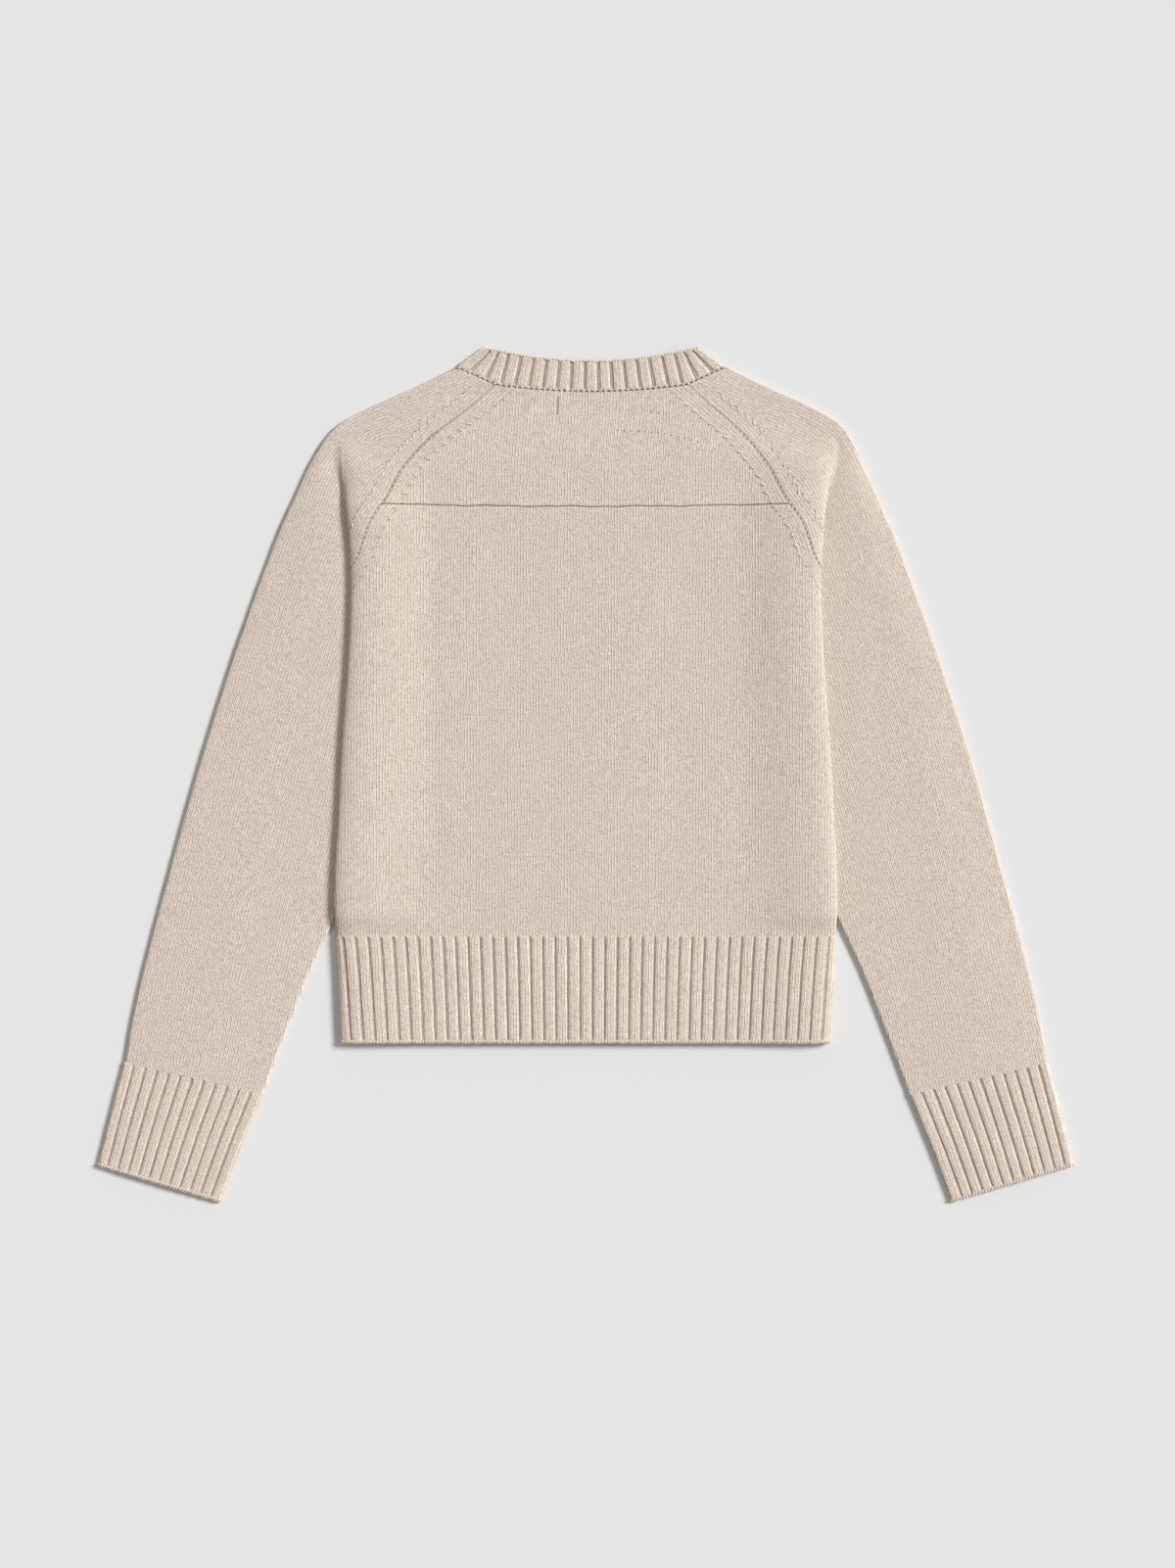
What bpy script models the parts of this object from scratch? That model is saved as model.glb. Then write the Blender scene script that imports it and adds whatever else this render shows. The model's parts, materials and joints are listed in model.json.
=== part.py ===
"""A knitted cardigan laid flat on its front, back side up.

Units are millimetres in the tables and metres in the meshes. X runs across the garment, +Y from the
hem to the neck, +Z up from the surface it lies on. Each cloth piece is one wall of knitting: rows of
points along a section of the folded garment, given a thickness, so that neighbours meet at seams with
a small gap. Both plies lie on each other, and each side of the back is tucked under, over the sleeve.
"""

import math

import bpy
import numpy as np

MM = 0.001
QUARTER = math.pi / 2

# Cloth and how it stacks, from the surface up
WALL = 1.8
SEAM_GAP = 0.3
PLY = 2.3
FLOOR_PLY = WALL / 2
TOP_PLY = FLOOR_PLY + PLY
TUCK_PLY = TOP_PLY + PLY
BACK_LEVEL = 6.5
FOLD_R = 3.45
TUCK_R = PLY / 2

# Sizes of the garment
YOKE_Y = 207.0
YOKE_SAG = 1.8
HEM_TOP_Y = -124.0
HEM_Y = -205.9
UNDERARM_Y = 117.0
SIDE_SEAM_X = 157.0
BACK_NECK_X = 73.5
BACK_NECK_Y = 299.0
BACK_NECK_DIP = 5.4
FRONT_NECK_X = 84.0
FRONT_NECK_Y = 272.0
FRONT_NECK_DROP = 57.0
SHOULDER_X = 102.0
SHOULDER_Y = 313.0
FOLD_FOOT_X = 101.1
FOLD_FOOT_Y = 311.6
NECK_TOP_X = 81.5
NECK_TOP_Y = 328.4
NECKBAND_DIP = 10.8
NECKBAND_WIDTH = 26.5
RAMP_X = 119.0
RAMP_LEAST = 52.0
SHOULDER_INSET = 16.0
RAGLAN_TURN_Y = 166.0
SEAM_HALF_AT_FOLD = 0.4

# The middle of the back comes down from its level to the top ply between these heights
LEVEL_DROP_Y = 232.0
LEVEL_LOW_Y = 291.0

# The neck lies a little to the right of the hem's middle
NECK_SHIFT = 4.0
NECK_SHIFT_Y = 230.0
NECK_SHIFT_LENGTH = 60.0

# The fronts climb from the surface to the side seam between these places, as far up as the underarm
CLIMB_X = 124.0
CLIMB_END_X = 153.0
CLIMB_END_Y = UNDERARM_Y + 2.0
CLIMB_LENGTH = 16.0
FRONT_NECK_EASE = 0.5

# The front opening
BAND_HALF = 15.0
BAND_WALL = 1.5
BUTTON_R = 7.5
BUTTON_T = 1.2
BUTTONS = 7
BUTTONHOLE_LEVEL = BUTTON_T + SEAM_GAP + BAND_WALL / 2
BUTTON_BAND_LEVEL = BUTTONHOLE_LEVEL + WALL + SEAM_GAP
BAND_RAMP = 26.0
TOP_BUTTON_DROP = 16.0
LOW_BUTTON_RISE = 24.0
BUTTON_TURNS = 20
BUTTON_RINGS = [  # radius, z
    (0.0, 0.5),
    (4.6, 0.5),
    (5.4, 0.0),
    (6.9, 0.0),
    (BUTTON_R, 0.5),
    (BUTTON_R, 0.8),
    (6.6, BUTTON_T),
    (0.0, BUTTON_T),
]

# Half-width of the sleeve's outer fold at each height
OUTLINE = [  # y, x
    (-245.0, 359.0),
    (-220.8, 353.7),
    (-172.1, 344.6),
    (-115.9, 330.8),
    (-74.6, 319.9),
    (-22.1, 304.9),
    (30.4, 289.9),
    (82.9, 272.6),
    (135.4, 254.6),
    (161.6, 244.9),
    (187.9, 234.8),
    (214.1, 222.8),
    (244.9, 208.5),
    (256.9, 202.0),
    (268.9, 191.5),
    (280.9, 170.0),
    (292.9, 143.6),
    (304.9, 118.0),
    (SHOULDER_Y, SHOULDER_X),
]

# Half-width of the body at its side fold
SIDE_FOLD = [  # y, x
    (HEM_Y, 186.4),
    (HEM_TOP_Y, 190.3),
    (-112.0, 191.2),
    (-22.0, 188.3),
    (22.9, 186.0),
    (67.9, 182.6),
    (112.0, 180.0),
    (157.9, 179.3),
    (188.0, 181.1),
    (218.0, 184.5),
    (259.0, 189.4),
]

# The back's raglan seam, on top of the garment
RAGLAN = [  # y, x
    (RAGLAN_TURN_Y, 175.0),
    (197.0, 163.0),
    (210.4, 153.8),
    (236.6, 139.0),
    (260.6, 118.0),
    (290.0, 83.0),
    (BACK_NECK_Y, BACK_NECK_X),
]

# Where the side tuck starts, is right over, starts to run in, and lies fully under; and where, near
# the hem, it comes down to the surface
TUCK_START_Y = 264.0
TUCK_OVER_Y = 207.0
TUCK_RUN_Y = 214.0
TUCK_FULL_Y = 192.0
TUCK_LEAST_RUN = 1.5
TUCK_DROP_Y = -106.0

# The sleeve below the underarm: the height of each row at its two folds
SLEEVE_ROWS = [  # inner_x, inner_y, outer_x, outer_y
    (157.4, 99.0, 268.0, 98.0),
    (157.4, 62.0, 281.0, 58.0),
    (157.4, 20.0, 294.7, 14.0),
    (159.0, -26.0, 308.5, -34.0),
    (175.0, -70.0, 320.5, -78.0),
    (192.0, -109.0, 331.0, -117.0),
    (211.0, -150.0, 341.0, -156.0),
    (229.5, -197.0, 348.5, -190.0),
    (247.6, -245.2, 353.7, -220.8),
]
CUFF_ROWS = [  # inner_x, inner_y, outer_x, outer_y
    (247.6, -245.2, 353.7, -220.8),
    (264.5, -286.0, 364.0, -260.5),
    (280.4, -328.0, 373.8, -300.0),
]

# The neckband's lines on the surface beside the shoulders
NECKBAND_SIDES = [  # seam_x, seam_y, free_x, free_y
    (85.5, 280.0, 62.5, 293.0),
    (91.0, 292.0, 68.0, 306.0),
]

# Heights of the rows of each piece
BODY_YS = [HEM_TOP_Y, -112.0, -98.0, -60.0, -10.0, 40.0, 84.0, 104.0]
ARMHOLE_YS = [117.0, 125.0, 134.0, 142.0, 148.0, 152.0, 156.0, 160.0, 164.0, 168.0, 180.0, 194.0]
YOKE_YS = [YOKE_Y, 218.0, 228.0, 238.0, 244.0, 250.0, 257.0, 264.0, 274.0, 285.0, 293.0]
YOKE_LAST_Y = BACK_NECK_Y - BACK_NECK_DIP - 6.0
SHOULDER_YS = [BACK_NECK_Y, 305.0, 310.5]
FRONT_TOP_Y = FRONT_NECK_Y - FRONT_NECK_DROP - 8.0
FRONT_YS = BODY_YS + [112.0] + ARMHOLE_YS[:-1] + [190.0, FRONT_TOP_Y]
HEM_YS = [HEM_Y, (HEM_Y + HEM_TOP_Y) / 2, HEM_TOP_Y - SEAM_GAP]

# Places across the rows of a front, and across its neck edge
FRONT_SHARES = [0.0, 0.08, 0.18, 0.4, 0.62, 0.72, 0.8, 0.88, 0.95, 1.0]
FRONT_HEAD_XS = [15.3, 21.5, 28.0, 35.0, 42.0, 55.0, 66.0, 75.0, 81.5, 83.2]
NECK_SEAM_XS = (0.0, BAND_HALF, 28.0, 42.0, 55.0, 66.0, 75.0, 81.5, 83.9)


def table(rows, y):
    """Reads a table of (y, x) rows at height y."""
    ys, xs = zip(*rows)
    return float(np.interp(y, ys, xs))


def ease(value):
    """Rises from 0 to 1 with level ends."""
    value = min(max(value, 0.0), 1.0)
    return value * value * (3.0 - 2.0 * value)


def between(low, high, share):
    return low + (high - low) * share


# ---------------------------------------------------------------- sections of the folded garment


def outline_x(y):
    return table(OUTLINE, y)


def tuck_level(y):
    """Height of the back's tucked-under ply: over the sleeve, then down to the surface at the hem."""
    return between(FLOOR_PLY, TUCK_PLY, ease((y - HEM_TOP_Y) / (TUCK_DROP_Y - HEM_TOP_Y)))


def back_level(y):
    """Height of the flat middle of the back, which comes down towards the neck."""
    return between(BACK_LEVEL, TOP_PLY, ease((y - LEVEL_DROP_Y) / (LEVEL_LOW_Y - LEVEL_DROP_Y)))


def tuck(y):
    """The turning angle of the side tuck, and the straight run between its two folds."""
    angle = math.pi * ease((TUCK_START_Y - y) / (TUCK_START_Y - TUCK_OVER_Y))
    full = table(SIDE_FOLD, y) - FOLD_R - TUCK_R - SIDE_SEAM_X
    run = between(TUCK_LEAST_RUN, full, ease((TUCK_RUN_Y - y) / (TUCK_RUN_Y - TUCK_FULL_Y)))
    return angle, run


def arc(centre_x, centre_z, radius, start, end, steps=14):
    """Points round part of a fold, from angle start to angle end."""
    turn = np.linspace(start, end, steps + 1)
    return np.stack([centre_x + radius * np.cos(turn), centre_z + radius * np.sin(turn)], 1)


class Section:
    """A line of points (x, z) across the cloth, read by its length from the first point."""

    def __init__(self, parts):
        points, marks = [parts[0]], [0]
        for part in parts[1:]:
            marks.append(sum(len(p) for p in points) - 1)
            points.append(part)
        points = np.concatenate(points)
        marks.append(len(points) - 1)
        steps = np.linalg.norm(np.diff(points, axis=0), axis=1)
        length = np.concatenate([[0.0], np.cumsum(steps)])
        self.marks = [float(length[m]) for m in marks]
        keep = np.concatenate([[True], steps > 1e-6])
        self.points, self.length = points[keep], length[keep]

    def at(self, s):
        """Points and unit normals at lengths s; the normal is up where the line runs outward."""
        reach = 0.25
        s = np.asarray(s, float)
        point = np.stack([np.interp(s, self.length, self.points[:, k]) for k in (0, 1)], 1)
        low, high = np.clip(s - reach, 0, self.length[-1]), np.clip(s + reach, 0, self.length[-1])
        ahead = np.stack([np.interp(high, self.length, self.points[:, k]) for k in (0, 1)], 1)
        behind = np.stack([np.interp(low, self.length, self.points[:, k]) for k in (0, 1)], 1)
        along = ahead - behind
        along /= np.linalg.norm(along, axis=1)[:, None]
        return point, np.stack([-along[:, 1], along[:, 0]], 1)

    def length_at_x(self, x, last):
        """Length at which the first stretch, up to mark number last, reaches x."""
        inside = self.length <= self.marks[last] + 1e-9
        return float(np.interp(x, self.points[inside, 0], self.length[inside]))


def top_line(y, end_x, end_z):
    """The back from the centre line outward: level, then up or down to its fold."""
    ramp_x = min(RAMP_X, end_x - RAMP_LEAST)
    xs = np.concatenate([np.linspace(0.0, ramp_x, 9), np.linspace(ramp_x, end_x, 19)[1:]])
    level = back_level(y)
    zs = [between(level, end_z, ease((x - ramp_x) / (end_x - ramp_x))) for x in xs]
    return np.stack([xs, zs], 1)


def armhole_section(y):
    """The whole ply at a height above the underarm: out along the back, through the side tuck,
    out along the sleeve, round its outer fold, and in along the front to the centre line."""
    angle, run = tuck(y)
    outer_x = outline_x(y)
    fold_x = min(table(SIDE_FOLD, y), outer_x - SHOULDER_INSET)
    drop = (FOLD_R + TUCK_R) * (1.0 - math.cos(angle)) + run * math.sin(angle)
    start_x = fold_x - FOLD_R * math.sin(min(angle, QUARTER))
    start_z = TOP_PLY + drop
    top = top_line(y, start_x, start_z)
    over = arc(start_x, start_z - FOLD_R, FOLD_R, QUARTER, QUARTER - angle)
    leave_x, leave_z = over[-1]
    turn_x = leave_x + run * math.cos(angle)
    turn_z = leave_z - run * math.sin(angle)
    inward = np.array([[turn_x, turn_z]])
    centre_x = turn_x + TUCK_R * math.sin(angle)
    centre_z = turn_z + TUCK_R * math.cos(angle)
    under = arc(centre_x, centre_z, TUCK_R, -QUARTER - angle, -QUARTER)
    fold_centre = outer_x - TUCK_R - WALL / 2
    out = np.array([[fold_centre, TOP_PLY]])
    outer = arc(fold_centre, FLOOR_PLY + TUCK_R, TUCK_R, QUARTER, -QUARTER)
    back_in = np.array([[0.0, FLOOR_PLY]])
    return Section([top, over, inward, under, out, outer, back_in])


def body_section(y):
    """The back below the underarm: out, over the side fold, and in to the side seam."""
    level = tuck_level(y)
    fold_x = table(SIDE_FOLD, y) - FOLD_R
    top = top_line(y, fold_x, level + 2 * FOLD_R)
    over = arc(fold_x, level + FOLD_R, FOLD_R, QUARTER, -QUARTER)
    inward = np.array([[SIDE_SEAM_X + SEAM_GAP / 2, level]])
    return Section([top, over, inward])


def raglan_length(y, section):
    """Where the back's raglan seam crosses a section: on the back, then round the side fold."""
    if y >= RAGLAN_TURN_Y:
        return section.length_at_x(table(RAGLAN, y), 1)
    start = section.marks[1] - 1.5
    end = (section.marks[3] + section.marks[4]) / 2
    share = (RAGLAN_TURN_Y - y) / (RAGLAN_TURN_Y - UNDERARM_Y)
    return between(start, end, share)


def seam_half(y):
    """Half the gap at the raglan seam, a little wider where the seam turns round the side fold."""
    at_fold = UNDERARM_Y < y < RAGLAN_TURN_Y + 4.0
    return SEAM_HALF_AT_FOLD if at_fold else SEAM_GAP / 2


def spread(wanted, low, high):
    """Places for a row's points: as wanted, but kept in order inside one piece's ends."""
    least = 0.22
    order = np.arange(len(wanted)) * least
    places = np.maximum(wanted, low + order)
    places = np.minimum(places, high - order[::-1])
    places[0], places[-1] = low, high
    return places


# ---------------------------------------------------------------- meshes


def neck_shift(y):
    return NECK_SHIFT * ease((y - NECK_SHIFT_Y) / NECK_SHIFT_LENGTH)


def shell(name, middle, normals, wall, material):
    """One closed wall of cloth from a grid of middle points and the normals they are offset along."""
    rows, columns = middle.shape[:2]
    middle = middle.copy()
    middle[..., 0] += np.vectorize(neck_shift)(middle[..., 1])
    upper = middle + normals * wall / 2
    lower = middle - normals * wall / 2
    points = np.concatenate([upper.reshape(-1, 3), lower.reshape(-1, 3)]) * MM
    half = rows * columns
    faces = []
    for i in range(rows - 1):
        for j in range(columns - 1):
            a = i * columns + j
            b, c, d = a + 1, a + columns + 1, a + columns
            faces.append((a, b, c))
            faces.append((a, c, d))
            faces.append((half + c, half + b, half + a))
            faces.append((half + d, half + c, half + a))
    ring = list(range(columns))
    ring += [i * columns + columns - 1 for i in range(1, rows)]
    ring += [(rows - 1) * columns + j for j in range(columns - 2, -1, -1)]
    ring += [i * columns for i in range(rows - 2, 0, -1)]
    for a, b in zip(ring, ring[1:] + ring[:1]):
        faces.append((a, half + a, half + b))
        faces.append((a, half + b, b))
    mesh = bpy.data.meshes.new(name)
    mesh.from_pydata(points.tolist(), [], faces)
    mesh.validate()
    corners = points[np.array(faces)]
    volume = np.einsum("ij,ij->i", corners[:, 0], np.cross(corners[:, 1], corners[:, 2])).sum()
    if volume < 0:
        mesh.flip_normals()
    mesh.shade_smooth()
    mesh.set_sharp_from_angle(angle=math.radians(50))
    piece = bpy.data.objects.new(name, mesh)
    mesh.materials.append(material)
    bpy.context.scene.collection.objects.link(piece)
    return piece


def section_rows(ys, sections, places, side=1):
    """Grids of points and normals for rows at heights ys, mirrored across X where side is -1."""
    middle, normals = [], []
    for y, section, place in zip(ys, sections, places):
        point, normal = section.at(place)
        middle.append(np.stack([side * point[:, 0], np.full(len(place), y), point[:, 1]], 1))
        normals.append(np.stack([side * normal[:, 0], np.zeros(len(place)), normal[:, 1]], 1))
    return np.array(middle), np.array(normals)


def whole_width(ys, sections, places):
    """Rows of both halves, from the left end over the centre line to the right end."""
    right, right_normals = section_rows(ys, sections, places)
    left, left_normals = section_rows(ys, sections, places, side=-1)
    middle = np.concatenate([left[:, :0:-1], right], axis=1)
    normals = np.concatenate([left_normals[:, :0:-1], right_normals], axis=1)
    return middle, normals


def knit(name, colour):
    material = bpy.data.materials.new(name)
    material.use_nodes = True
    surface = material.node_tree.nodes["Principled BSDF"]
    surface.inputs["Base Color"].default_value = (*colour, 1.0)
    surface.inputs["Roughness"].default_value = 0.95
    surface.inputs["Metallic"].default_value = 0.0
    surface.inputs["Sheen Weight"].default_value = 0.3
    return material


def half_columns(section, last):
    """Places along half of the back: the level middle, the rise, the side fold and the tuck."""
    rise = section.length_at_x(min(RAMP_X, section.points[8, 0]), 1)
    marks = section.marks
    places = [0.0, rise * 0.5, rise]
    places += list(np.linspace(rise, marks[1], 5)[1:])
    places += list(np.linspace(marks[1], marks[2], 6)[1:])
    places += list(np.linspace(marks[2], last, 3)[1:])
    return np.array(places)


# ---------------------------------------------------------------- back, yoke and hem


def yoke_y(x):
    """The yoke seam sags a little at the middle of the back."""
    return YOKE_SAG * (1.0 - (x / 150.0) ** 2) if abs(x) < 150.0 else 0.0


def make_back(material):
    ys = BODY_YS + ARMHOLE_YS + [YOKE_YS[0] - SEAM_GAP / 2]
    sections, places = [], []
    for y in ys:
        if y < UNDERARM_Y:
            section = body_section(y)
            high = section.marks[3]
            wanted = half_columns(section, high)
        else:
            section = armhole_section(y)
            high = raglan_length(y, section) - seam_half(y)
            wanted = half_columns(section, section.marks[3])
        sections.append(section)
        places.append(spread(wanted, 0.0, high))
    middle, normals = whole_width(ys, sections, places)
    middle[-1, :, 1] -= [yoke_y(x) for x in middle[-1, :, 0]]
    shell("back", middle, normals, WALL, material)


def back_neck_y(x):
    """The back neck seam, which dips at the centre."""
    return BACK_NECK_Y - BACK_NECK_DIP * (1.0 - (x / BACK_NECK_X) ** 2)


def make_yoke(material):
    ys = [YOKE_YS[0] + SEAM_GAP / 2] + YOKE_YS[1:]
    ys[-1] = YOKE_LAST_Y
    ys.append(BACK_NECK_Y - SEAM_GAP)
    sections = [armhole_section(y) for y in ys]
    places = []
    for y, section in zip(ys, sections):
        high = raglan_length(y, section) - SEAM_GAP / 2
        places.append(np.linspace(0.0, high, 9))
    middle, normals = whole_width(ys, sections, places)
    middle[0, :, 1] -= [yoke_y(x) for x in middle[0, :, 0]]
    middle[-1, :, 1] = [back_neck_y(x) - SEAM_GAP for x in middle[-1, :, 0]]
    shell("back_yoke", middle, normals, WALL, material)


def make_hem_back(material):
    sections = [body_section(y) for y in HEM_YS]
    places = [half_columns(section, section.marks[3]) for section in sections]
    middle, normals = whole_width(HEM_YS, sections, places)
    shell("hem_back", middle, normals, WALL, material)


# ---------------------------------------------------------------- fronts, with their hems


def front_raglan_x(y):
    """The front's raglan seam, and below it the side seam."""
    if y <= UNDERARM_Y:
        return SIDE_SEAM_X
    share = (y - UNDERARM_Y) / (FRONT_NECK_Y - UNDERARM_Y)
    return between(SIDE_SEAM_X, FRONT_NECK_X, share)


def front_neck_y(x):
    """The front neck seam, a quarter of an ellipse on each side."""
    share = min(abs(x) / FRONT_NECK_X, 1.0)
    return FRONT_NECK_Y - FRONT_NECK_DROP * math.sqrt(max(1.0 - share * share, 0.0))


def neck_seam_y(x):
    """Height of the front neck seam, straight between the points that both its pieces share."""
    return float(np.interp(x, NECK_SEAM_XS, [front_neck_y(x) for x in NECK_SEAM_XS]))


def front_level(x, y, band_level):
    """Height of a front: at its band, on the surface, and up to the back at the side seam."""
    z = between(band_level, FLOOR_PLY, ease((abs(x) - BAND_HALF) / BAND_RAMP))
    climb = (tuck_level(y) - FLOOR_PLY) * ease((CLIMB_END_Y - y) / CLIMB_LENGTH)
    return z + climb * ease((abs(x) - CLIMB_X) / (CLIMB_END_X - CLIMB_X))


def front_rows(ys, side, band_level):
    middle = []
    for y in ys:
        high = front_raglan_x(y) - SEAM_GAP / 2
        low = BAND_HALF + SEAM_GAP
        row = [between(low, high, share) for share in FRONT_SHARES]
        middle.append([(side * x, y, front_level(x, y, band_level)) for x in row])
    middle = np.array(middle)
    return middle, flat_normals(middle)


def flat_normals(middle):
    """Unit normals, upward, of a grid of rows."""
    along = np.gradient(middle, axis=1)
    along[..., 1] = 0.0
    normals = np.stack([-along[..., 2], np.zeros(along.shape[:2]), along[..., 0]], -1)
    normals /= np.linalg.norm(normals, axis=-1)[..., None]
    return normals * np.sign(normals[..., 2:3])


def make_front(name, side, band_level, material):
    middle, normals = front_rows(FRONT_YS, side, band_level)
    # The last rows close in under the curved neck seam
    neck = []
    for lift in (0.34, 0.67, 1.0):
        row = []
        for share, head_x in zip(FRONT_SHARES, FRONT_HEAD_XS):
            foot_x = between(BAND_HALF + SEAM_GAP, front_raglan_x(FRONT_TOP_Y) - SEAM_GAP / 2, share)
            x = between(foot_x, head_x, lift)
            y = between(FRONT_TOP_Y, neck_seam_y(head_x) - FRONT_NECK_EASE, lift)
            if share == 1.0:
                x = front_raglan_x(y) - SEAM_GAP / 2
            row.append((side * x, y, front_level(x, y, band_level)))
        neck.append(row)
    middle = np.concatenate([middle, neck])
    normals = np.concatenate([normals, flat_normals(np.array(neck))])
    shell(name, middle, normals, WALL, material)


def make_hem_front(name, side, band_level, material):
    middle, normals = front_rows(HEM_YS, side, band_level)
    shell(name, middle, normals, WALL, material)


# ---------------------------------------------------------------- sleeves and cuffs


def sleeve_columns(section, low, high, tuck_share):
    """Places round a sleeve above the underarm. Where the tuck is open they are even."""
    marks = section.marks
    folded = list(np.linspace(min(low, marks[1] - 2.0), marks[1], 3)[:-1])
    folded += list(np.linspace(marks[1], marks[2], 6))
    folded += [(marks[2] + marks[3]) / 2]
    folded += list(np.linspace(marks[3], marks[4], 4))
    folded += list(np.linspace(marks[4], marks[5], 5)[1:-1])
    even = list(np.linspace(low, marks[5], len(folded) + 1)[:-1])
    top = [between(a, b, tuck_share) for a, b in zip(even, folded)]
    rest = list(np.linspace(marks[5], marks[6], 5))
    rest += list(np.linspace(marks[6], high, 6)[1:])
    return np.array(top + rest)


def front_end_length(y, section):
    """Length, on the floor ply, at the front raglan seam or above it the neck seam."""
    if y > FRONT_NECK_Y:
        share = (y + 2 * SEAM_GAP - FRONT_NECK_Y) / (FOLD_FOOT_Y - FRONT_NECK_Y)
        x = between(FRONT_NECK_X, FOLD_FOOT_X, share)
    else:
        x = front_raglan_x(y)
    return section.marks[7] - x


def back_start_length(y, section):
    if y > BACK_NECK_Y:
        share = (y + 2 * SEAM_GAP - BACK_NECK_Y) / (FOLD_FOOT_Y - BACK_NECK_Y)
        return section.length_at_x(between(BACK_NECK_X, FOLD_FOOT_X, share), 5)
    return raglan_length(y, section)


def tube_row(row, count_top, count_bottom):
    """A row round a flat tube, from its inner fold over the top to the outer fold and back under."""
    inner_x, inner_y, outer_x, outer_y = row
    width = math.hypot(outer_x - inner_x, outer_y - inner_y)
    along_x, along_y = (outer_x - inner_x) / width, (outer_y - inner_y) / width
    inset = TUCK_R + FLOOR_PLY
    centre_z = FLOOR_PLY + TUCK_R
    slit = SEAM_GAP / 2 / TUCK_R
    section = Section([
        arc(inset, centre_z, TUCK_R, math.pi - slit, QUARTER),
        np.array([[width - inset, TOP_PLY]]),
        arc(width - inset, centre_z, TUCK_R, QUARTER, -QUARTER),
        np.array([[inset, FLOOR_PLY]]),
        arc(inset, centre_z, TUCK_R, -QUARTER, -math.pi + slit),
    ])
    marks = section.marks
    places = np.concatenate([
        np.linspace(0.0, marks[1], 4)[:-1],
        np.linspace(marks[1], marks[2], count_top),
        np.linspace(marks[2], marks[3], 5)[1:-1],
        np.linspace(marks[3], marks[4], count_bottom),
        np.linspace(marks[4], marks[5], 4)[1:],
    ])
    line, normal = section.at(places)
    x, y = inner_x + along_x * line[:, 0], inner_y + along_y * line[:, 0]
    normals = np.stack([along_x * normal[:, 0], along_y * normal[:, 0], normal[:, 1]], 1)
    return np.stack([x, y, line[:, 1]], 1), normals


def make_sleeve(name, side, material):
    ys = ARMHOLE_YS + YOKE_YS + SHOULDER_YS
    sections = [armhole_section(y) for y in ys]
    places = []
    for y, section in zip(ys, sections):
        low = back_start_length(y, section) + seam_half(y)
        high = front_end_length(y, section) - SEAM_GAP / 2
        tuck_share = ease((TUCK_START_Y - y) / 14.0)
        places.append(spread(sleeve_columns(section, low, high, tuck_share), low, high))
    middle, normals = section_rows(ys, sections, places)
    count = middle.shape[1]
    tubes = [tube_row(row, 13, count - 13 - 9) for row in SLEEVE_ROWS[::-1]]
    middle = np.concatenate([np.array([m for m, _ in tubes]), middle])
    normals = np.concatenate([np.array([n for _, n in tubes]), normals])
    middle[..., 0] *= side
    normals[..., 0] *= side
    shell(name, middle, normals, WALL, material)


def make_cuff(name, side, material):
    top = np.array(CUFF_ROWS[0])
    end = np.array(CUFF_ROWS[-1])
    down = (end - top) / np.linalg.norm((end - top)[:2])
    rows = [top + down * SEAM_GAP, np.array(CUFF_ROWS[1]), end]
    tubes = [tube_row(tuple(row), 6, 6) for row in rows]
    middle, normals = np.array([m for m, _ in tubes]), np.array([n for _, n in tubes])
    middle[..., 0] *= side
    normals[..., 0] *= side
    shell(name, middle, normals, WALL, material)


# ---------------------------------------------------------------- neckband, front bands, buttons


def neckband_rows():
    """Lines across the band, seam to free edge, for the right side from front to centre back."""
    lines = []
    down, up = (0.0, 0.0, -1.0), (0.0, 0.0, 1.0)
    fold_seam = np.array([SHOULDER_X + SEAM_GAP, SHOULDER_Y + SEAM_GAP])
    fold_free = np.array([NECK_TOP_X, NECK_TOP_Y - 0.4])
    free_end_x, free_end_y = 60.0, 283.0
    for x in (-BAND_HALF,) + NECK_SEAM_XS[:-1]:
        seam = np.array([x, neck_seam_y(max(x, 0.0)) + SEAM_GAP])
        share = ease((x - BAND_HALF) / (NECK_SEAM_XS[-1] - BAND_HALF))
        free = np.array([between(x, free_end_x, share) if x > BAND_HALF else x, 0.0])
        free[1] = between(front_neck_y(0.0) + NECKBAND_WIDTH, free_end_y, share * share)
        lines.append((seam, free, FLOOR_PLY, down))
    for seam_x, seam_y, free_x, free_y in NECKBAND_SIDES:
        lines.append((np.array([seam_x, seam_y]), np.array([free_x, free_y]), FLOOR_PLY, down))
    across = fold_free - fold_seam
    across /= np.linalg.norm(across)
    outward = np.array([across[1], -across[0]])
    for turn in np.linspace(-QUARTER, QUARTER, 5):
        shift = outward * (TUCK_R * math.cos(turn) - TUCK_R - FLOOR_PLY)
        z = FLOOR_PLY + TUCK_R + TUCK_R * math.sin(turn)
        normal = (outward[0] * math.cos(turn), outward[1] * math.cos(turn), math.sin(turn))
        lines.append((fold_seam + shift, fold_free + shift, z, normal))
    for x in (BACK_NECK_X, 56.0, 38.0, 19.0, 0.0):
        seam = np.array([x, back_neck_y(x) + SEAM_GAP])
        free_x = x * NECK_TOP_X / (BACK_NECK_X + 16.0)
        dip = NECKBAND_DIP * (1.0 - (free_x / NECK_TOP_X) ** 2)
        free = np.array([free_x, NECK_TOP_Y - 0.6 - dip])
        lines.append((seam, free, TOP_PLY, up))
    return lines


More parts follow.
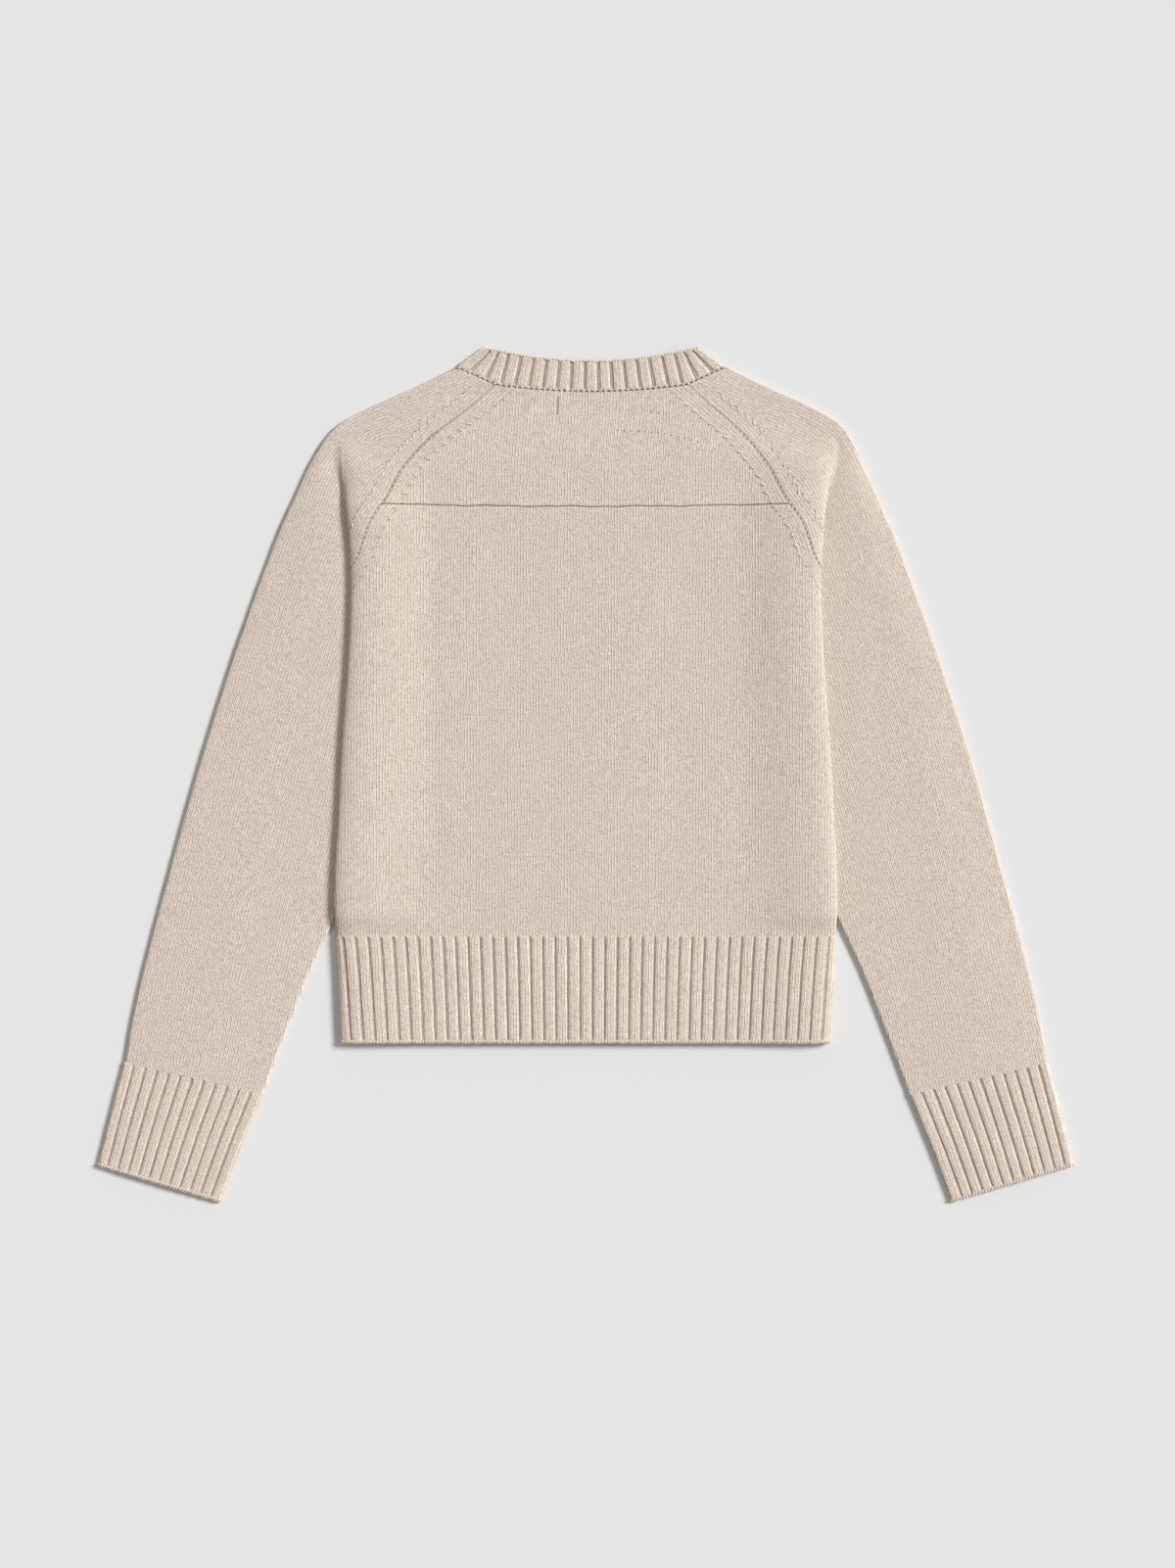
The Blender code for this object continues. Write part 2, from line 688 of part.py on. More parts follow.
def make_neckband(material):
    halves, half_normals = [], []
    for side, band_level in ((1, BUTTONHOLE_LEVEL), (-1, BUTTON_BAND_LEVEL)):
        rows, normals = [], []
        for seam, free, z, (normal_x, normal_y, normal_z) in neckband_rows():
            normals.append([(side * normal_x, normal_y, normal_z)] * 3)
            row = []
            for share in (0.0, 0.5, 1.0):
                x, y = between(seam, free, share)
                level = z
                if y < FRONT_NECK_Y and z == FLOOR_PLY:
                    level = between(band_level, z, ease((x - BAND_HALF) / BAND_RAMP))
                row.append((side * x, y, level))
            rows.append(row)
        halves.append(np.array(rows))
        half_normals.append(np.array(normals))
    middle = np.concatenate([halves[0], halves[1][-2::-1]])
    normals = np.concatenate([half_normals[0], half_normals[1][-2::-1]])
    shell("neckband", middle, normals, WALL, material)


def make_band(name, level, material):
    ys = np.linspace(HEM_Y, front_neck_y(0.0) - SEAM_GAP, 5)
    middle = np.array([[(x, y, level) for x in (-BAND_HALF, BAND_HALF)] for y in ys])
    normals = np.zeros_like(middle)
    normals[..., 2] = 1.0
    shell(name, middle, normals, BAND_WALL, material)


def button_ys():
    return np.linspace(front_neck_y(0.0) - TOP_BUTTON_DROP, HEM_Y + LOW_BUTTON_RISE, BUTTONS)


def make_buttons(material):
    """Flat round buttons with a raised rim, face down under the lapped bands."""
    for number, y in enumerate(button_ys(), start=1):
        points = [(0.0, y, BUTTON_RINGS[0][1])]
        for radius, z in BUTTON_RINGS[1:-1]:
            for k in range(BUTTON_TURNS):
                angle = 2 * math.pi * k / BUTTON_TURNS
                points.append((radius * math.cos(angle), y + radius * math.sin(angle), z))
        points.append((0.0, y, BUTTON_RINGS[-1][1]))
        faces = []
        last = 1 + (len(BUTTON_RINGS) - 3) * BUTTON_TURNS
        for k in range(BUTTON_TURNS):
            following = (k + 1) % BUTTON_TURNS
            faces.append((0, 1 + following, 1 + k))
            for a in range(1, last, BUTTON_TURNS):
                b = a + BUTTON_TURNS
                faces.append((a + k, a + following, b + following, b + k))
            faces.append((last + k, last + following, len(points) - 1))
        mesh = bpy.data.meshes.new(f"button_{number}")
        mesh.from_pydata((np.array(points) * MM).tolist(), [], faces)
        mesh.validate()
        mesh.shade_smooth()
        mesh.set_sharp_from_angle(angle=math.radians(35))
        mesh.materials.append(material)
        button = bpy.data.objects.new(f"button_{number}", mesh)
        bpy.context.scene.collection.objects.link(button)


def main():
    for thing in list(bpy.data.objects):
        bpy.data.objects.remove(thing, do_unlink=True)
    plain = knit("plain_knit", (0.67, 0.58, 0.50))
    ribbed = knit("rib_knit", (0.62, 0.53, 0.45))
    button = knit("button_resin", (0.52, 0.42, 0.33))
    button.node_tree.nodes["Principled BSDF"].inputs["Roughness"].default_value = 0.35
    make_back(plain)
    make_yoke(plain)
    make_hem_back(ribbed)
    for side_name, side, level in (
        ("right", 1, BUTTONHOLE_LEVEL),
        ("left", -1, BUTTON_BAND_LEVEL),
    ):
        make_front(f"front_{side_name}", side, level, plain)
        make_hem_front(f"hem_front_{side_name}", side, level, ribbed)
        make_sleeve(f"sleeve_{side_name}", side, plain)
        make_cuff(f"cuff_{side_name}", side, ribbed)
    make_neckband(ribbed)
    make_band("buttonhole_band", BUTTONHOLE_LEVEL, ribbed)
    make_band("button_band", BUTTON_BAND_LEVEL, ribbed)
    make_buttons(button)


main()
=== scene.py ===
import json
import math

import bpy
import numpy as np
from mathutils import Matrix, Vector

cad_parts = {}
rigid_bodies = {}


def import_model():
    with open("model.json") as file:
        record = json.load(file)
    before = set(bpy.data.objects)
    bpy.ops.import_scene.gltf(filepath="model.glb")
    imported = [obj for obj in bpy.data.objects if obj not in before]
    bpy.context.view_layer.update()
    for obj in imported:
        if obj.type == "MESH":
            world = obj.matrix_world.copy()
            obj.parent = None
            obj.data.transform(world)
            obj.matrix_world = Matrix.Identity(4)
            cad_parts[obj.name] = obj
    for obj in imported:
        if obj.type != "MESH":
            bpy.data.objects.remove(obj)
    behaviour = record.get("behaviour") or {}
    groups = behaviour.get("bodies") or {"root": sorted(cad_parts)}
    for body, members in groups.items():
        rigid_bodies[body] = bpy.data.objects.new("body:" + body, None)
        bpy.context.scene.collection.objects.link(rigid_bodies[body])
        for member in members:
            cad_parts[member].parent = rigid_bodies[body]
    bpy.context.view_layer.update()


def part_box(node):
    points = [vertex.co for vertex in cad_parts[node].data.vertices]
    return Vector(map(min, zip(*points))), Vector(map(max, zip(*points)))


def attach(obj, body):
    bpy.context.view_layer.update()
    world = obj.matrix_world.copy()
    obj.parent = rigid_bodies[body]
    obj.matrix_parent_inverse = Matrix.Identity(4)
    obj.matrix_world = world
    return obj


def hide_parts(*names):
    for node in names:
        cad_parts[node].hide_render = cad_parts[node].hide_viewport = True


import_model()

# Back: one knitted panel from the yoke seam down to the hem. Its sides are tucked under, so it runs
# level across the middle, climbs over the tucked sleeve, turns round the side fold and ends at the
# side seam underneath. Plain knitting in a mid-weight oatmeal yarn, its rows running across.

MM = 0.001
WALL = 1.7
PLY = 2.3
FLOOR_PLY = 0.9
TOP_PLY = FLOOR_PLY + PLY
TUCK_PLY = TOP_PLY + PLY
BACK_LEVEL = 6.5
FOLD_R = 3.45
CREST_WIDE = 14.0
CREST_HIGH = 3.8
TUCK_R = PLY / 2
SEAM_HALF = 0.03
QUARTER = math.pi / 2
FAR = 99.0
SIDES = (("left", -1), ("right", 1))

_, back_high = np.array(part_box("back")) / MM
hem_low, hem_high = np.array(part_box("hem_back")) / MM
HEM_Y = hem_low[1]
HEM_TOP_Y = hem_high[1] + 0.3
YOKE_Y = back_high[1] + 0.15
YOKE_SAG = 1.8
UNDERARM_Y = 117.0
SIDE_SEAM_X = 157.0
RAGLAN_TURN_Y = 166.0
BACK_NECK_X = 73.5
BACK_NECK_Y = 299.0
RAMP_X = 112.0
RAMP_LEAST = 46.0
NECK_DROP_Y = 232.0

SIDE_FOLD = [  # y, x
    (HEM_Y, 186.4),
    (HEM_TOP_Y, 190.3),
    (-112.0, 191.2),
    (-22.0, 188.3),
    (22.9, 186.0),
    (67.9, 182.6),
    (112.0, 180.0),
    (157.9, 179.3),
    (188.0, 181.1),
    (218.0, 184.5),
    (259.0, 189.4),
]
OUTLINE = [  # y, x
    (-245.0, 359.0),
    (-220.8, 353.7),
    (-172.1, 344.6),
    (-115.9, 330.8),
    (-74.6, 319.9),
    (-22.1, 304.9),
    (30.4, 289.9),
    (82.9, 272.6),
    (135.4, 254.6),
    (161.6, 244.9),
    (187.9, 234.8),
    (214.1, 222.8),
    (244.9, 208.5),
    (256.9, 202.0),
    (268.9, 191.5),
    (280.9, 170.0),
    (292.9, 143.6),
    (304.9, 118.0),
    (313.0, 102.0),
]
RAGLAN = [  # y, x
    (RAGLAN_TURN_Y, 175.0),
    (197.0, 163.0),
    (210.4, 153.8),
    (236.6, 139.0),
    (260.6, 118.0),
    (290.0, 83.0),
    (BACK_NECK_Y, BACK_NECK_X),
]
TUCK_START_Y = 272.0
TUCK_OVER_Y = 180.0
TUCK_RUN_Y = 190.0
TUCK_FULL_Y = 164.0
TUCK_SLOW = 1.35
TUCK_LEAST_RUN = 1.5
TUCK_DROP_Y = -106.0
FOOT_SOFT = 20.0
FOOT_START_Y = 268.0
FOOT_LENGTH = 60.0

# Soft creases left by handling: ridges (height above 0) and troughs across the top of the garment
CREASES = [  # x, y, angle in degrees, half-length, half-width, height
    (-96.0, 150.0, 66.0, 66.0, 18.0, 0.4),
    (-58.0, 84.0, 80.0, 90.0, 20.0, -0.35),
    (30.0, 66.0, 95.0, 120.0, 24.0, 0.35),
    (84.0, 128.0, 114.0, 76.0, 18.0, -0.4),
    (-18.0, -52.0, 85.0, 90.0, 26.0, -0.3),
    (102.0, -34.0, 96.0, 80.0, 18.0, 0.35),
    (-116.0, -66.0, 82.0, 60.0, 16.0, 0.3),
    (6.0, 248.0, 4.0, 62.0, 14.0, -0.25),
    (62.0, 262.0, -12.0, 30.0, 9.0, 0.25),
    (-243.0, 96.0, 66.0, 76.0, 17.0, 0.6),
    (-262.0, -26.0, 72.0, 68.0, 18.0, 0.5),
    (-283.0, -140.0, 76.0, 60.0, 20.0, 0.5),
    (240.0, 118.0, 111.0, 62.0, 16.0, 0.5),
    (258.0, 4.0, 106.0, 82.0, 18.0, 0.6),
    (292.0, -128.0, 104.0, 64.0, 20.0, 0.5),
    (-208.0, 168.0, 74.0, 44.0, 12.0, 0.6),
    (210.0, 178.0, 106.0, 46.0, 13.0, 0.6),
]


def ease(value):
    """Rises from 0 to 1 with level ends."""
    value = np.clip(value, 0.0, 1.0)
    return value * value * (3.0 - 2.0 * value)


def between(low, high, share):
    """The value at a share of the way from low to high."""
    return low + (high - low) * share


def curve_at(rows, y):
    """A smooth curve through a table of (y, x) rows, read at height y."""
    ys, xs = np.array(rows).T
    slopes = np.gradient(xs, ys)
    k = int(np.clip(np.searchsorted(ys, y) - 1, 0, len(ys) - 2))
    step = ys[k + 1] - ys[k]
    t = float(np.clip((y - ys[k]) / step, 0.0, 1.0))
    near = (1 + 2 * t) * (1 - t) ** 2 * xs[k] + t * (1 - t) ** 2 * step * slopes[k]
    far = t * t * (3 - 2 * t) * xs[k + 1] + t * t * (t - 1) * step * slopes[k + 1]
    return near + far


def tuck_level(y):
    """Height of the back's tucked-under ply: over the sleeve, then down to the surface at the hem."""
    return between(FLOOR_PLY, TUCK_PLY, ease((y - HEM_TOP_Y) / (TUCK_DROP_Y - HEM_TOP_Y)))


def back_level(y):
    """Height of the level middle of the back, which comes down towards the neck."""
    return between(BACK_LEVEL, TOP_PLY, ease((y - NECK_DROP_Y) / (BACK_NECK_Y - 8.0 - NECK_DROP_Y)))


def tuck(y):
    """The turning angle of the side tuck, and the straight run between its two folds."""
    angle = math.pi * float(ease((TUCK_START_Y - y) / (TUCK_START_Y - TUCK_OVER_Y))) ** TUCK_SLOW
    full = curve_at(SIDE_FOLD, y) - FOLD_R - TUCK_R - SIDE_SEAM_X
    run = between(TUCK_LEAST_RUN, full, ease((TUCK_RUN_Y - y) / (TUCK_RUN_Y - TUCK_FULL_Y)))
    return angle, run


def arc(centre_x, centre_z, radius, start, end, steps=24):
    """Points (x, z) along an arc."""
    turn = np.linspace(start, end, steps + 1)
    return np.stack([centre_x + radius * np.cos(turn), centre_z + radius * np.sin(turn)], 1)


class Section:
    """A line of points (x, z) across the cloth, read by its length from the first point."""

    def __init__(self, parts):
        points, marks = [parts[0]], [0]
        for part in parts[1:]:
            marks.append(sum(len(p) for p in points) - 1)
            points.append(part)
        points = np.concatenate(points)
        marks.append(len(points) - 1)
        steps = np.linalg.norm(np.diff(points, axis=0), axis=1)
        length = np.concatenate([[0.0], np.cumsum(steps)])
        self.marks = [float(length[m]) for m in marks]
        keep = np.concatenate([[True], steps > 1e-6])
        self.points, self.length = points[keep], length[keep]

    def read(self, s):
        """Points at lengths s."""
        return np.stack([np.interp(s, self.length, self.points[:, k]) for k in (0, 1)], 1)

    def at(self, s):
        """Points and unit normals at lengths s, the normals on the garment's outer side."""
        s = np.asarray(s, float)
        low, high = np.clip(s - 0.3, 0, self.length[-1]), np.clip(s + 0.3, 0, self.length[-1])
        along = self.read(high) - self.read(low)
        along /= np.linalg.norm(along, axis=1)[:, None]
        return self.read(s), np.stack([-along[:, 1], along[:, 0]], 1)

    def length_at_x(self, x, last):
        """Length at which the line reaches x, before the mark given as last."""
        inside = self.length <= self.marks[last] + 1e-9
        return float(np.interp(x, self.points[inside, 0], self.length[inside]))


def top_line(y, end_x, end_z):
    """The back from the centre line outward: level, then up or down to its fold."""
    ramp_x = min(RAMP_X, end_x - RAMP_LEAST)
    xs = np.concatenate([np.linspace(0.0, ramp_x, 9), np.linspace(ramp_x, end_x, 60)[1:]])
    zs = between(back_level(y), end_z, ease((xs - ramp_x) / (end_x - ramp_x)))
    return np.stack([xs, zs], 1)


def crest(x, z, slope):
    """The rounded shoulder of a side fold, ending at x, z with the given downward slope."""
    turn = np.linspace(0.0, math.atan2(CREST_WIDE * math.sin(slope), CREST_HIGH * math.cos(slope)), 30)
    across, down = CREST_WIDE * np.sin(turn), CREST_HIGH * (1.0 - np.cos(turn))
    return np.stack([x - across[-1] + across, z + down[-1] - down], 1)


def tuck_foot(slope, soft, steps=30):
    """The hollow where a slope runs out onto the ply below, ending at 0, 0. It is wider where soft."""
    turn = np.linspace(slope, 0.0, steps + 1)
    mid = (turn[:-1] + turn[1:]) / 2
    radius = TUCK_R + soft * np.where(mid < QUARTER, np.cos(mid), 0.0) ** 2
    step = radius * slope / steps
    x = np.concatenate([[0.0], np.cumsum(np.cos(mid) * step)])
    z = np.concatenate([[0.0], -np.cumsum(np.sin(mid) * step)])
    return np.stack([x - x[-1], z - z[-1]], 1)


def armhole_section(y):
    """The whole ply at a height above the underarm: out along the back, through the side tuck,
    out along the sleeve, round its outer fold, and in along the front to the centre line."""
    angle, run = tuck(y)
    outer_x = curve_at(OUTLINE, y)
    fold_x = min(curve_at(SIDE_FOLD, y), outer_x - 16.0)
    under = max(angle, QUARTER)
    soft = FOOT_SOFT * (1.0 - ease((FOOT_START_Y - y) / FOOT_LENGTH))
    hollow = tuck_foot(angle, soft)
    edge_z = TOP_PLY + run * math.sin(angle) + hollow[0, 1] - FOLD_R * math.cos(under)
    shoulder = crest(fold_x, edge_z, min(angle, QUARTER))
    over = arc(fold_x - FOLD_R, edge_z, FOLD_R, 0.0, QUARTER - under)
    leave_x, leave_z = over[-1]
    turn_x = leave_x + run * math.cos(angle)
    turn_z = leave_z - run * math.sin(angle)
    fold_centre = outer_x - TUCK_R - FLOOR_PLY
    parts = [
        np.concatenate([top_line(y, *shoulder[0])[:-1], shoulder]),
        over,
        np.array([[turn_x, turn_z]]),
        hollow - hollow[0] + (turn_x, turn_z),
        np.array([[fold_centre, TOP_PLY]]),
        arc(fold_centre, FLOOR_PLY + TUCK_R, TUCK_R, QUARTER, -QUARTER),
        np.array([[0.0, FLOOR_PLY]]),
    ]
    return Section(parts)


def body_section(y):
    """The back below the underarm: out, over the side fold, and in to the side seam."""
    level = tuck_level(y)
    fold_x = curve_at(SIDE_FOLD, y)
    shoulder = crest(fold_x, level + FOLD_R, QUARTER)
    parts = [
        np.concatenate([top_line(y, *shoulder[0])[:-1], shoulder]),
        arc(fold_x - FOLD_R, level + FOLD_R, FOLD_R, 0.0, -QUARTER),
        np.array([[SIDE_SEAM_X + 0.15, level]]),
    ]
    return Section(parts)


def raglan_length(y, section):
    """Where the back's raglan seam crosses a section: on the back, then round the side fold."""
    if y >= RAGLAN_TURN_Y:
        return section.length_at_x(curve_at(RAGLAN, y), 1)
    start = section.length_at_x(RAGLAN[0][1], 1)
    end = (section.marks[3] + section.marks[4]) / 2
    return between(start, end, (RAGLAN_TURN_Y - y) / (RAGLAN_TURN_Y - UNDERARM_Y))


def raglan_run(y):
    """Length along the raglan seam up to height y, and how far a step across a row leans from it."""
    heights = np.arange(UNDERARM_Y, BACK_NECK_Y, 2.0)
    seam_x = np.array([curve_at(RAGLAN, h) if h > RAGLAN_TURN_Y else RAGLAN[0][1] for h in heights])
    run = np.concatenate([[0.0], np.cumsum(np.hypot(2.0, np.diff(seam_x)))])
    slope = float(np.interp(y, heights, np.gradient(seam_x, heights)))
    return float(np.interp(y, heights, run)), 1.0 / math.hypot(1.0, slope)


def spread(wanted, low, high):
    """Places for a row's points: as wanted, but kept in order inside one piece's ends."""
    order = np.arange(len(wanted)) * 0.02
    places = np.minimum(np.maximum(wanted, low + order), high - order[::-1])
    places[0], places[-1] = low, high
    return places


NECK_SHIFT = 4.0


def neck_shift(y):
    """The neck lies a little to the right of the hem's middle."""
    return NECK_SHIFT * ease((y - 230.0) / 60.0)


def creased(middle, normals):
    """Lifts or lowers the cloth that faces up along the soft creases."""
    x, y = middle[..., 0], middle[..., 1]
    lift = np.zeros_like(x)
    for crease_x, crease_y, angle, half_length, half_width, height in CREASES:
        turn = math.radians(angle)
        along = (x - crease_x) * math.cos(turn) + (y - crease_y) * math.sin(turn)
        across = (y - crease_y) * math.cos(turn) - (x - crease_x) * math.sin(turn)
        across = across + 0.0025 * along * along * (1 if height > 0 else -1)
        lift += height * np.exp(-((along / half_length) ** 2) - (across / half_width) ** 2)
    return lift * np.clip((normals[..., 2] - 0.6) / 0.3, 0.0, 1.0)


def laid(points, normals, lift, crease=1.0):
    """Points moved out from the middle of the cloth, with the creases and the neck's shift."""
    moved = points + normals * np.asarray(lift)[..., None]
    moved[..., 2] += crease * creased(points, normals)
    moved[..., 0] += neck_shift(points[..., 1])
    return moved


def placed(name, data):
    """A new object in the scene."""
    made = bpy.data.objects.new(name, data)
    bpy.context.scene.collection.objects.link(made)
    return made


def cloth(name, middle, normals, stitches, relief, hollow, material, crease=1.0, beside=None):
    """One closed wall of knitting. middle is a grid of points, normals point to its outer side,
    stitches holds each point's place across and along the wales in millimetres, relief moves the
    outer face and hollow is painted shade, which darkens its colour. beside holds, near a raglan
    seam, the distance from the seam and along it, for the wales that run with it."""
    rows, columns = middle.shape[:2]
    outer = laid(middle, normals, WALL / 2 + relief, crease)
    inner = laid(middle, normals, np.full((rows, columns), -WALL / 2), crease)
    points = np.concatenate([outer.reshape(-1, 3), inner.reshape(-1, 3)])
    points[:, 2] = np.maximum(points[:, 2], 0.0)
    half = rows * columns
    grid = np.arange(half).reshape(rows, columns)
    a, b = grid[:-1, :-1].ravel(), grid[:-1, 1:].ravel()
    c, d = grid[1:, 1:].ravel(), grid[1:, :-1].ravel()
    faces = np.concatenate([np.stack([a, b, c, d], 1), half + np.stack([d, c, b, a], 1)])
    ring = np.concatenate([grid[0], grid[1:, -1], grid[-1, -2::-1], grid[-2:0:-1, 0]])
    after = np.roll(ring, -1)
    faces = np.concatenate([faces, np.stack([ring, half + ring, half + after, after], 1)])
    corner = points[faces]
    volume = np.einsum("ij,ij->i", corner[:, 0], np.cross(corner[:, 1], corner[:, 2])).sum()
    volume += np.einsum("ij,ij->i", corner[:, 0], np.cross(corner[:, 2], corner[:, 3])).sum()
    if volume < 0:
        faces = faces[:, ::-1]
    mesh = bpy.data.meshes.new(name)
    mesh.from_pydata((points * MM).tolist(), [], faces.tolist())
    place = np.concatenate([stitches.reshape(-1, 2)] * 2) * MM
    uv = mesh.uv_layers.new(name="Stitches")
    loops = np.empty(len(mesh.loops), np.int32)
    mesh.loops.foreach_get("vertex_index", loops)
    uv.data.foreach_set("uv", place[loops].astype(np.float32).ravel())
    # The hollow attribute is painted shade: the material darkens the colour by it in grooves, valleys and
    # holes.
    shade = mesh.attributes.new("hollow", "FLOAT", "POINT")
    shade.data.foreach_set("value", np.tile(np.clip(hollow, 0, 1).ravel(), 2).astype(np.float32))
    if beside is not None:
        for key, layer in (("from_seam", beside[0] + 1.0), ("along_seam", beside[1])):
            stored = mesh.attributes.new(key, "FLOAT", "POINT")
            stored.data.foreach_set("value", np.tile((layer * MM).ravel(), 2).astype(np.float32))
    mesh.shade_smooth()
    mesh.set_sharp_from_angle(angle=math.radians(60))
    mesh.materials.append(material)
    piece = placed(name, mesh)
    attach(piece, "root")
    return piece


class Value:
    """A number that a material's nodes work out, so that sums of them can be written plainly."""

    def __init__(self, shader, socket):
        self.shader, self.socket = shader, socket

    def __add__(self, other):
        return self.shader.math("ADD", self, other)

    def __sub__(self, other):
        return self.shader.math("SUBTRACT", self, other)

    def __mul__(self, other):
        return self.shader.math("MULTIPLY", self, other)

    def __truediv__(self, other):
        return self.shader.math("DIVIDE", self, other)

    def __pow__(self, other):
        return self.shader.math("POWER", self, other)


class Shader:
    """A material's node tree, built a node at a time."""

    def __init__(self, name, roughness, gloss):
        self.material = bpy.data.materials.new(name)
        self.material.use_nodes = True
        self.tree = self.material.node_tree
        self.surface = self.tree.nodes["Principled BSDF"].inputs
        self.surface["Roughness"].default_value = roughness
        self.surface["Specular IOR Level"].default_value = gloss

    def node(self, kind, **settings):
        """A new node with these settings."""
        made = self.tree.nodes.new(kind)
        for key, value in settings.items():
            setattr(made, key, value)
        return made

    def join(self, source, target):
        """Links an output, or a value, to an input."""
        self.tree.links.new(source.socket if isinstance(source, Value) else source, target)

    def math(self, operation, *values):
        """The result of an operation on numbers and values."""
        made = self.node("ShaderNodeMath", operation=operation)
        for socket, value in zip(made.inputs, values):
            if isinstance(value, (int, float)):
                socket.default_value = value
            else:
                self.join(value, socket)
        return Value(self, made.outputs[0])

    def noise(self, vector, scale, detail=2.0):
        """Soft noise over a vector, from 0 to 1."""
        made = self.node("ShaderNodeTexNoise")
        made.inputs["Scale"].default_value = scale
        made.inputs["Detail"].default_value = detail
        self.join(vector, made.inputs["Vector"])
        return Value(self, made.outputs["Fac"])

    def stored(self, key):
        """What the mesh has stored at each point under this name."""
        return Value(self, self.node("ShaderNodeAttribute", attribute_name=key).outputs["Fac"])

    def mix(self, share, low, high, blend="MIX"):
        """The colour at a share of the way from low to high."""
        made = self.node("ShaderNodeMix", data_type="RGBA", blend_type=blend)
        for socket, value in ((made.inputs[0], share), (made.inputs[6], low), (made.inputs[7], high)):
            if isinstance(value, (int, float)):
                socket.default_value = value
            elif isinstance(value, tuple):
                socket.default_value = (*value, 1.0)
            else:
                self.join(value, socket)
        return made.outputs[2]


MARGIN = 11.5
FASHION_PITCH = 7.6


def knit_material(name, light, dark, shade, wale, course, stitch_depth):
    """Knitting: a V of two yarn legs at each stitch, uneven from stitch to stitch, with a flecked
    yarn. Its colour holds painted shade: lighter on the yarn's crowns, darker between the wales, and
    the shade colour laid on where the mesh's hollow value says and at the holes. wale and course are
    the stitch's size in metres. Near a raglan seam the wales run with the seam, up to a line of small
    holes where stitches were taken together."""
    shader = Shader(name, 0.92, 0.15)
    node, join, maths = shader.node, shader.join, shader.math
    where = node("ShaderNodeTexCoord").outputs["Object"]
    split = node("ShaderNodeSeparateXYZ")
    join(node("ShaderNodeUVMap", uv_map="Stitches").outputs["UV"], split.inputs[0])
    u, v = (Value(shader, output) for output in split.outputs[:2])
    from_seam, along_seam = shader.stored("from_seam"), shader.stored("along_seam")
    off_seam = maths("GREATER_THAN", from_seam, 0.5 * MM)
    by_seam = off_seam * maths("LESS_THAN", from_seam, (MARGIN + 1.0) * MM)
    u = u + by_seam * (from_seam - u)
    v = v + by_seam * (along_seam - v)
    waver = (shader.noise(where, 60.0, 3.0) - 0.5) * 1.5
    across = u / wale + waver
    along = v / course - waver
    leg = maths("ABSOLUTE", maths("FRACT", across) - 0.5) * 2.0
    slant = along + leg * 0.8
    yarn = maths("MAXIMUM", maths("SINE", leg * math.pi), 0.001) ** 0.5
    loop = maths("MAXIMUM", maths("SINE", maths("FRACT", slant) * math.pi), 0.001) ** 0.5
    stitch = yarn * (loop * 0.6 + 0.4)
    shade_between_wales = leg**5.0
    cell = node("ShaderNodeCombineXYZ")
    join(maths("FLOOR", across * 2.0), cell.inputs[0])
    join(maths("FLOOR", slant), cell.inputs[1])
    by_cell = node("ShaderNodeTexWhiteNoise", noise_dimensions="2D")
    join(cell.outputs[0], by_cell.inputs["Vector"])
    odd = Value(shader, by_cell.outputs["Value"])
    fleck = shader.noise(where, 700.0, 2.0)
    fuzz = shader.noise(where, 560.0, 2.0)
    patch = shader.noise(where, 24.0, 3.0)
    # Painted shade of the stitch's own relief: the tone is lighter on the yarn's crowns and darker between
    # the wales. odd, fuzz and the flecks are the yarn's uneven tone.
    tone = stitch * 0.5 + odd * 0.22 + (fuzz - 0.5) * 1.5 + 0.36 - shade_between_wales * 0.95
    tone = maths("MINIMUM", maths("MAXIMUM", tone, 0.0), 1.15)
    colour = shader.mix(tone, dark, light)
    lit = (fleck * 0.16 + 0.92) * (patch * 0.07 + 0.965)
    grey = node("ShaderNodeCombineColor")
    for socket in grey.inputs:
        join(lit, socket)
    colour = shader.mix(1.0, colour, grey.outputs[0], "MULTIPLY")
    # Painted shade in the holes beside the seam: a dark dot at every decrease, mixed towards the shade
    # colour below.
    hole_x = from_seam - (MARGIN + 1.6) * MM
    hole_y = (maths("FRACT", along_seam / (FASHION_PITCH * MM)) - 0.5) * (FASHION_PITCH * MM)
    from_hole = maths("SQRT", hole_x * hole_x + hole_y * hole_y)
    hole = maths("LESS_THAN", from_hole, 0.75 * MM) * off_seam
    # The shade colour is painted shade, laid on by the mesh's hollow value and at the holes.
    colour = shader.mix(maths("MAXIMUM", shader.stored("hollow"), hole * 0.42), colour, shade)
    join(colour, shader.surface["Base Color"])
    height = stitch * 0.7 + odd * 0.25 + fuzz * 0.9 - hole * 1.2
    bump = node("ShaderNodeBump")
    bump.inputs["Strength"].default_value = 1.0
    bump.inputs["Distance"].default_value = stitch_depth
    join(height, bump.inputs["Height"])
    join(bump.outputs[0], shader.surface["Normal"])
    shader.surface["Sheen Weight"].default_value = 0.08
    shader.surface["Sheen Roughness"].default_value = 0.6
    shader.surface["Sheen Tint"].default_value = (0.95, 0.88, 0.8, 1.0)
    return shader.material


plain_knit = knit_material(
    "oatmeal plain knitting",
    light=(0.9, 0.785, 0.685),
    dark=(0.53, 0.415, 0.32),
    shade=(0.2, 0.14, 0.1),
    wale=0.0024,
    course=0.0019,
    stitch_depth=0.0006,
)


def half_columns(section, last):
    """Places along half of the back: the level middle, the rise, the side fold and the tuck."""
    rise = section.length_at_x(min(RAMP_X, section.points[8, 0]), 1)
    marks = section.marks
    places = list(np.linspace(0.0, rise, 54))
    places += list(np.linspace(rise, marks[1] - 18.0, 26)[1:])
    places += list(np.linspace(marks[1] - 18.0, marks[1], 22)[1:])
    places += list(np.linspace(marks[1], marks[2], 9)[1:])
    places += list(np.linspace(marks[2], last, 12)[1:])
    return np.array(places)


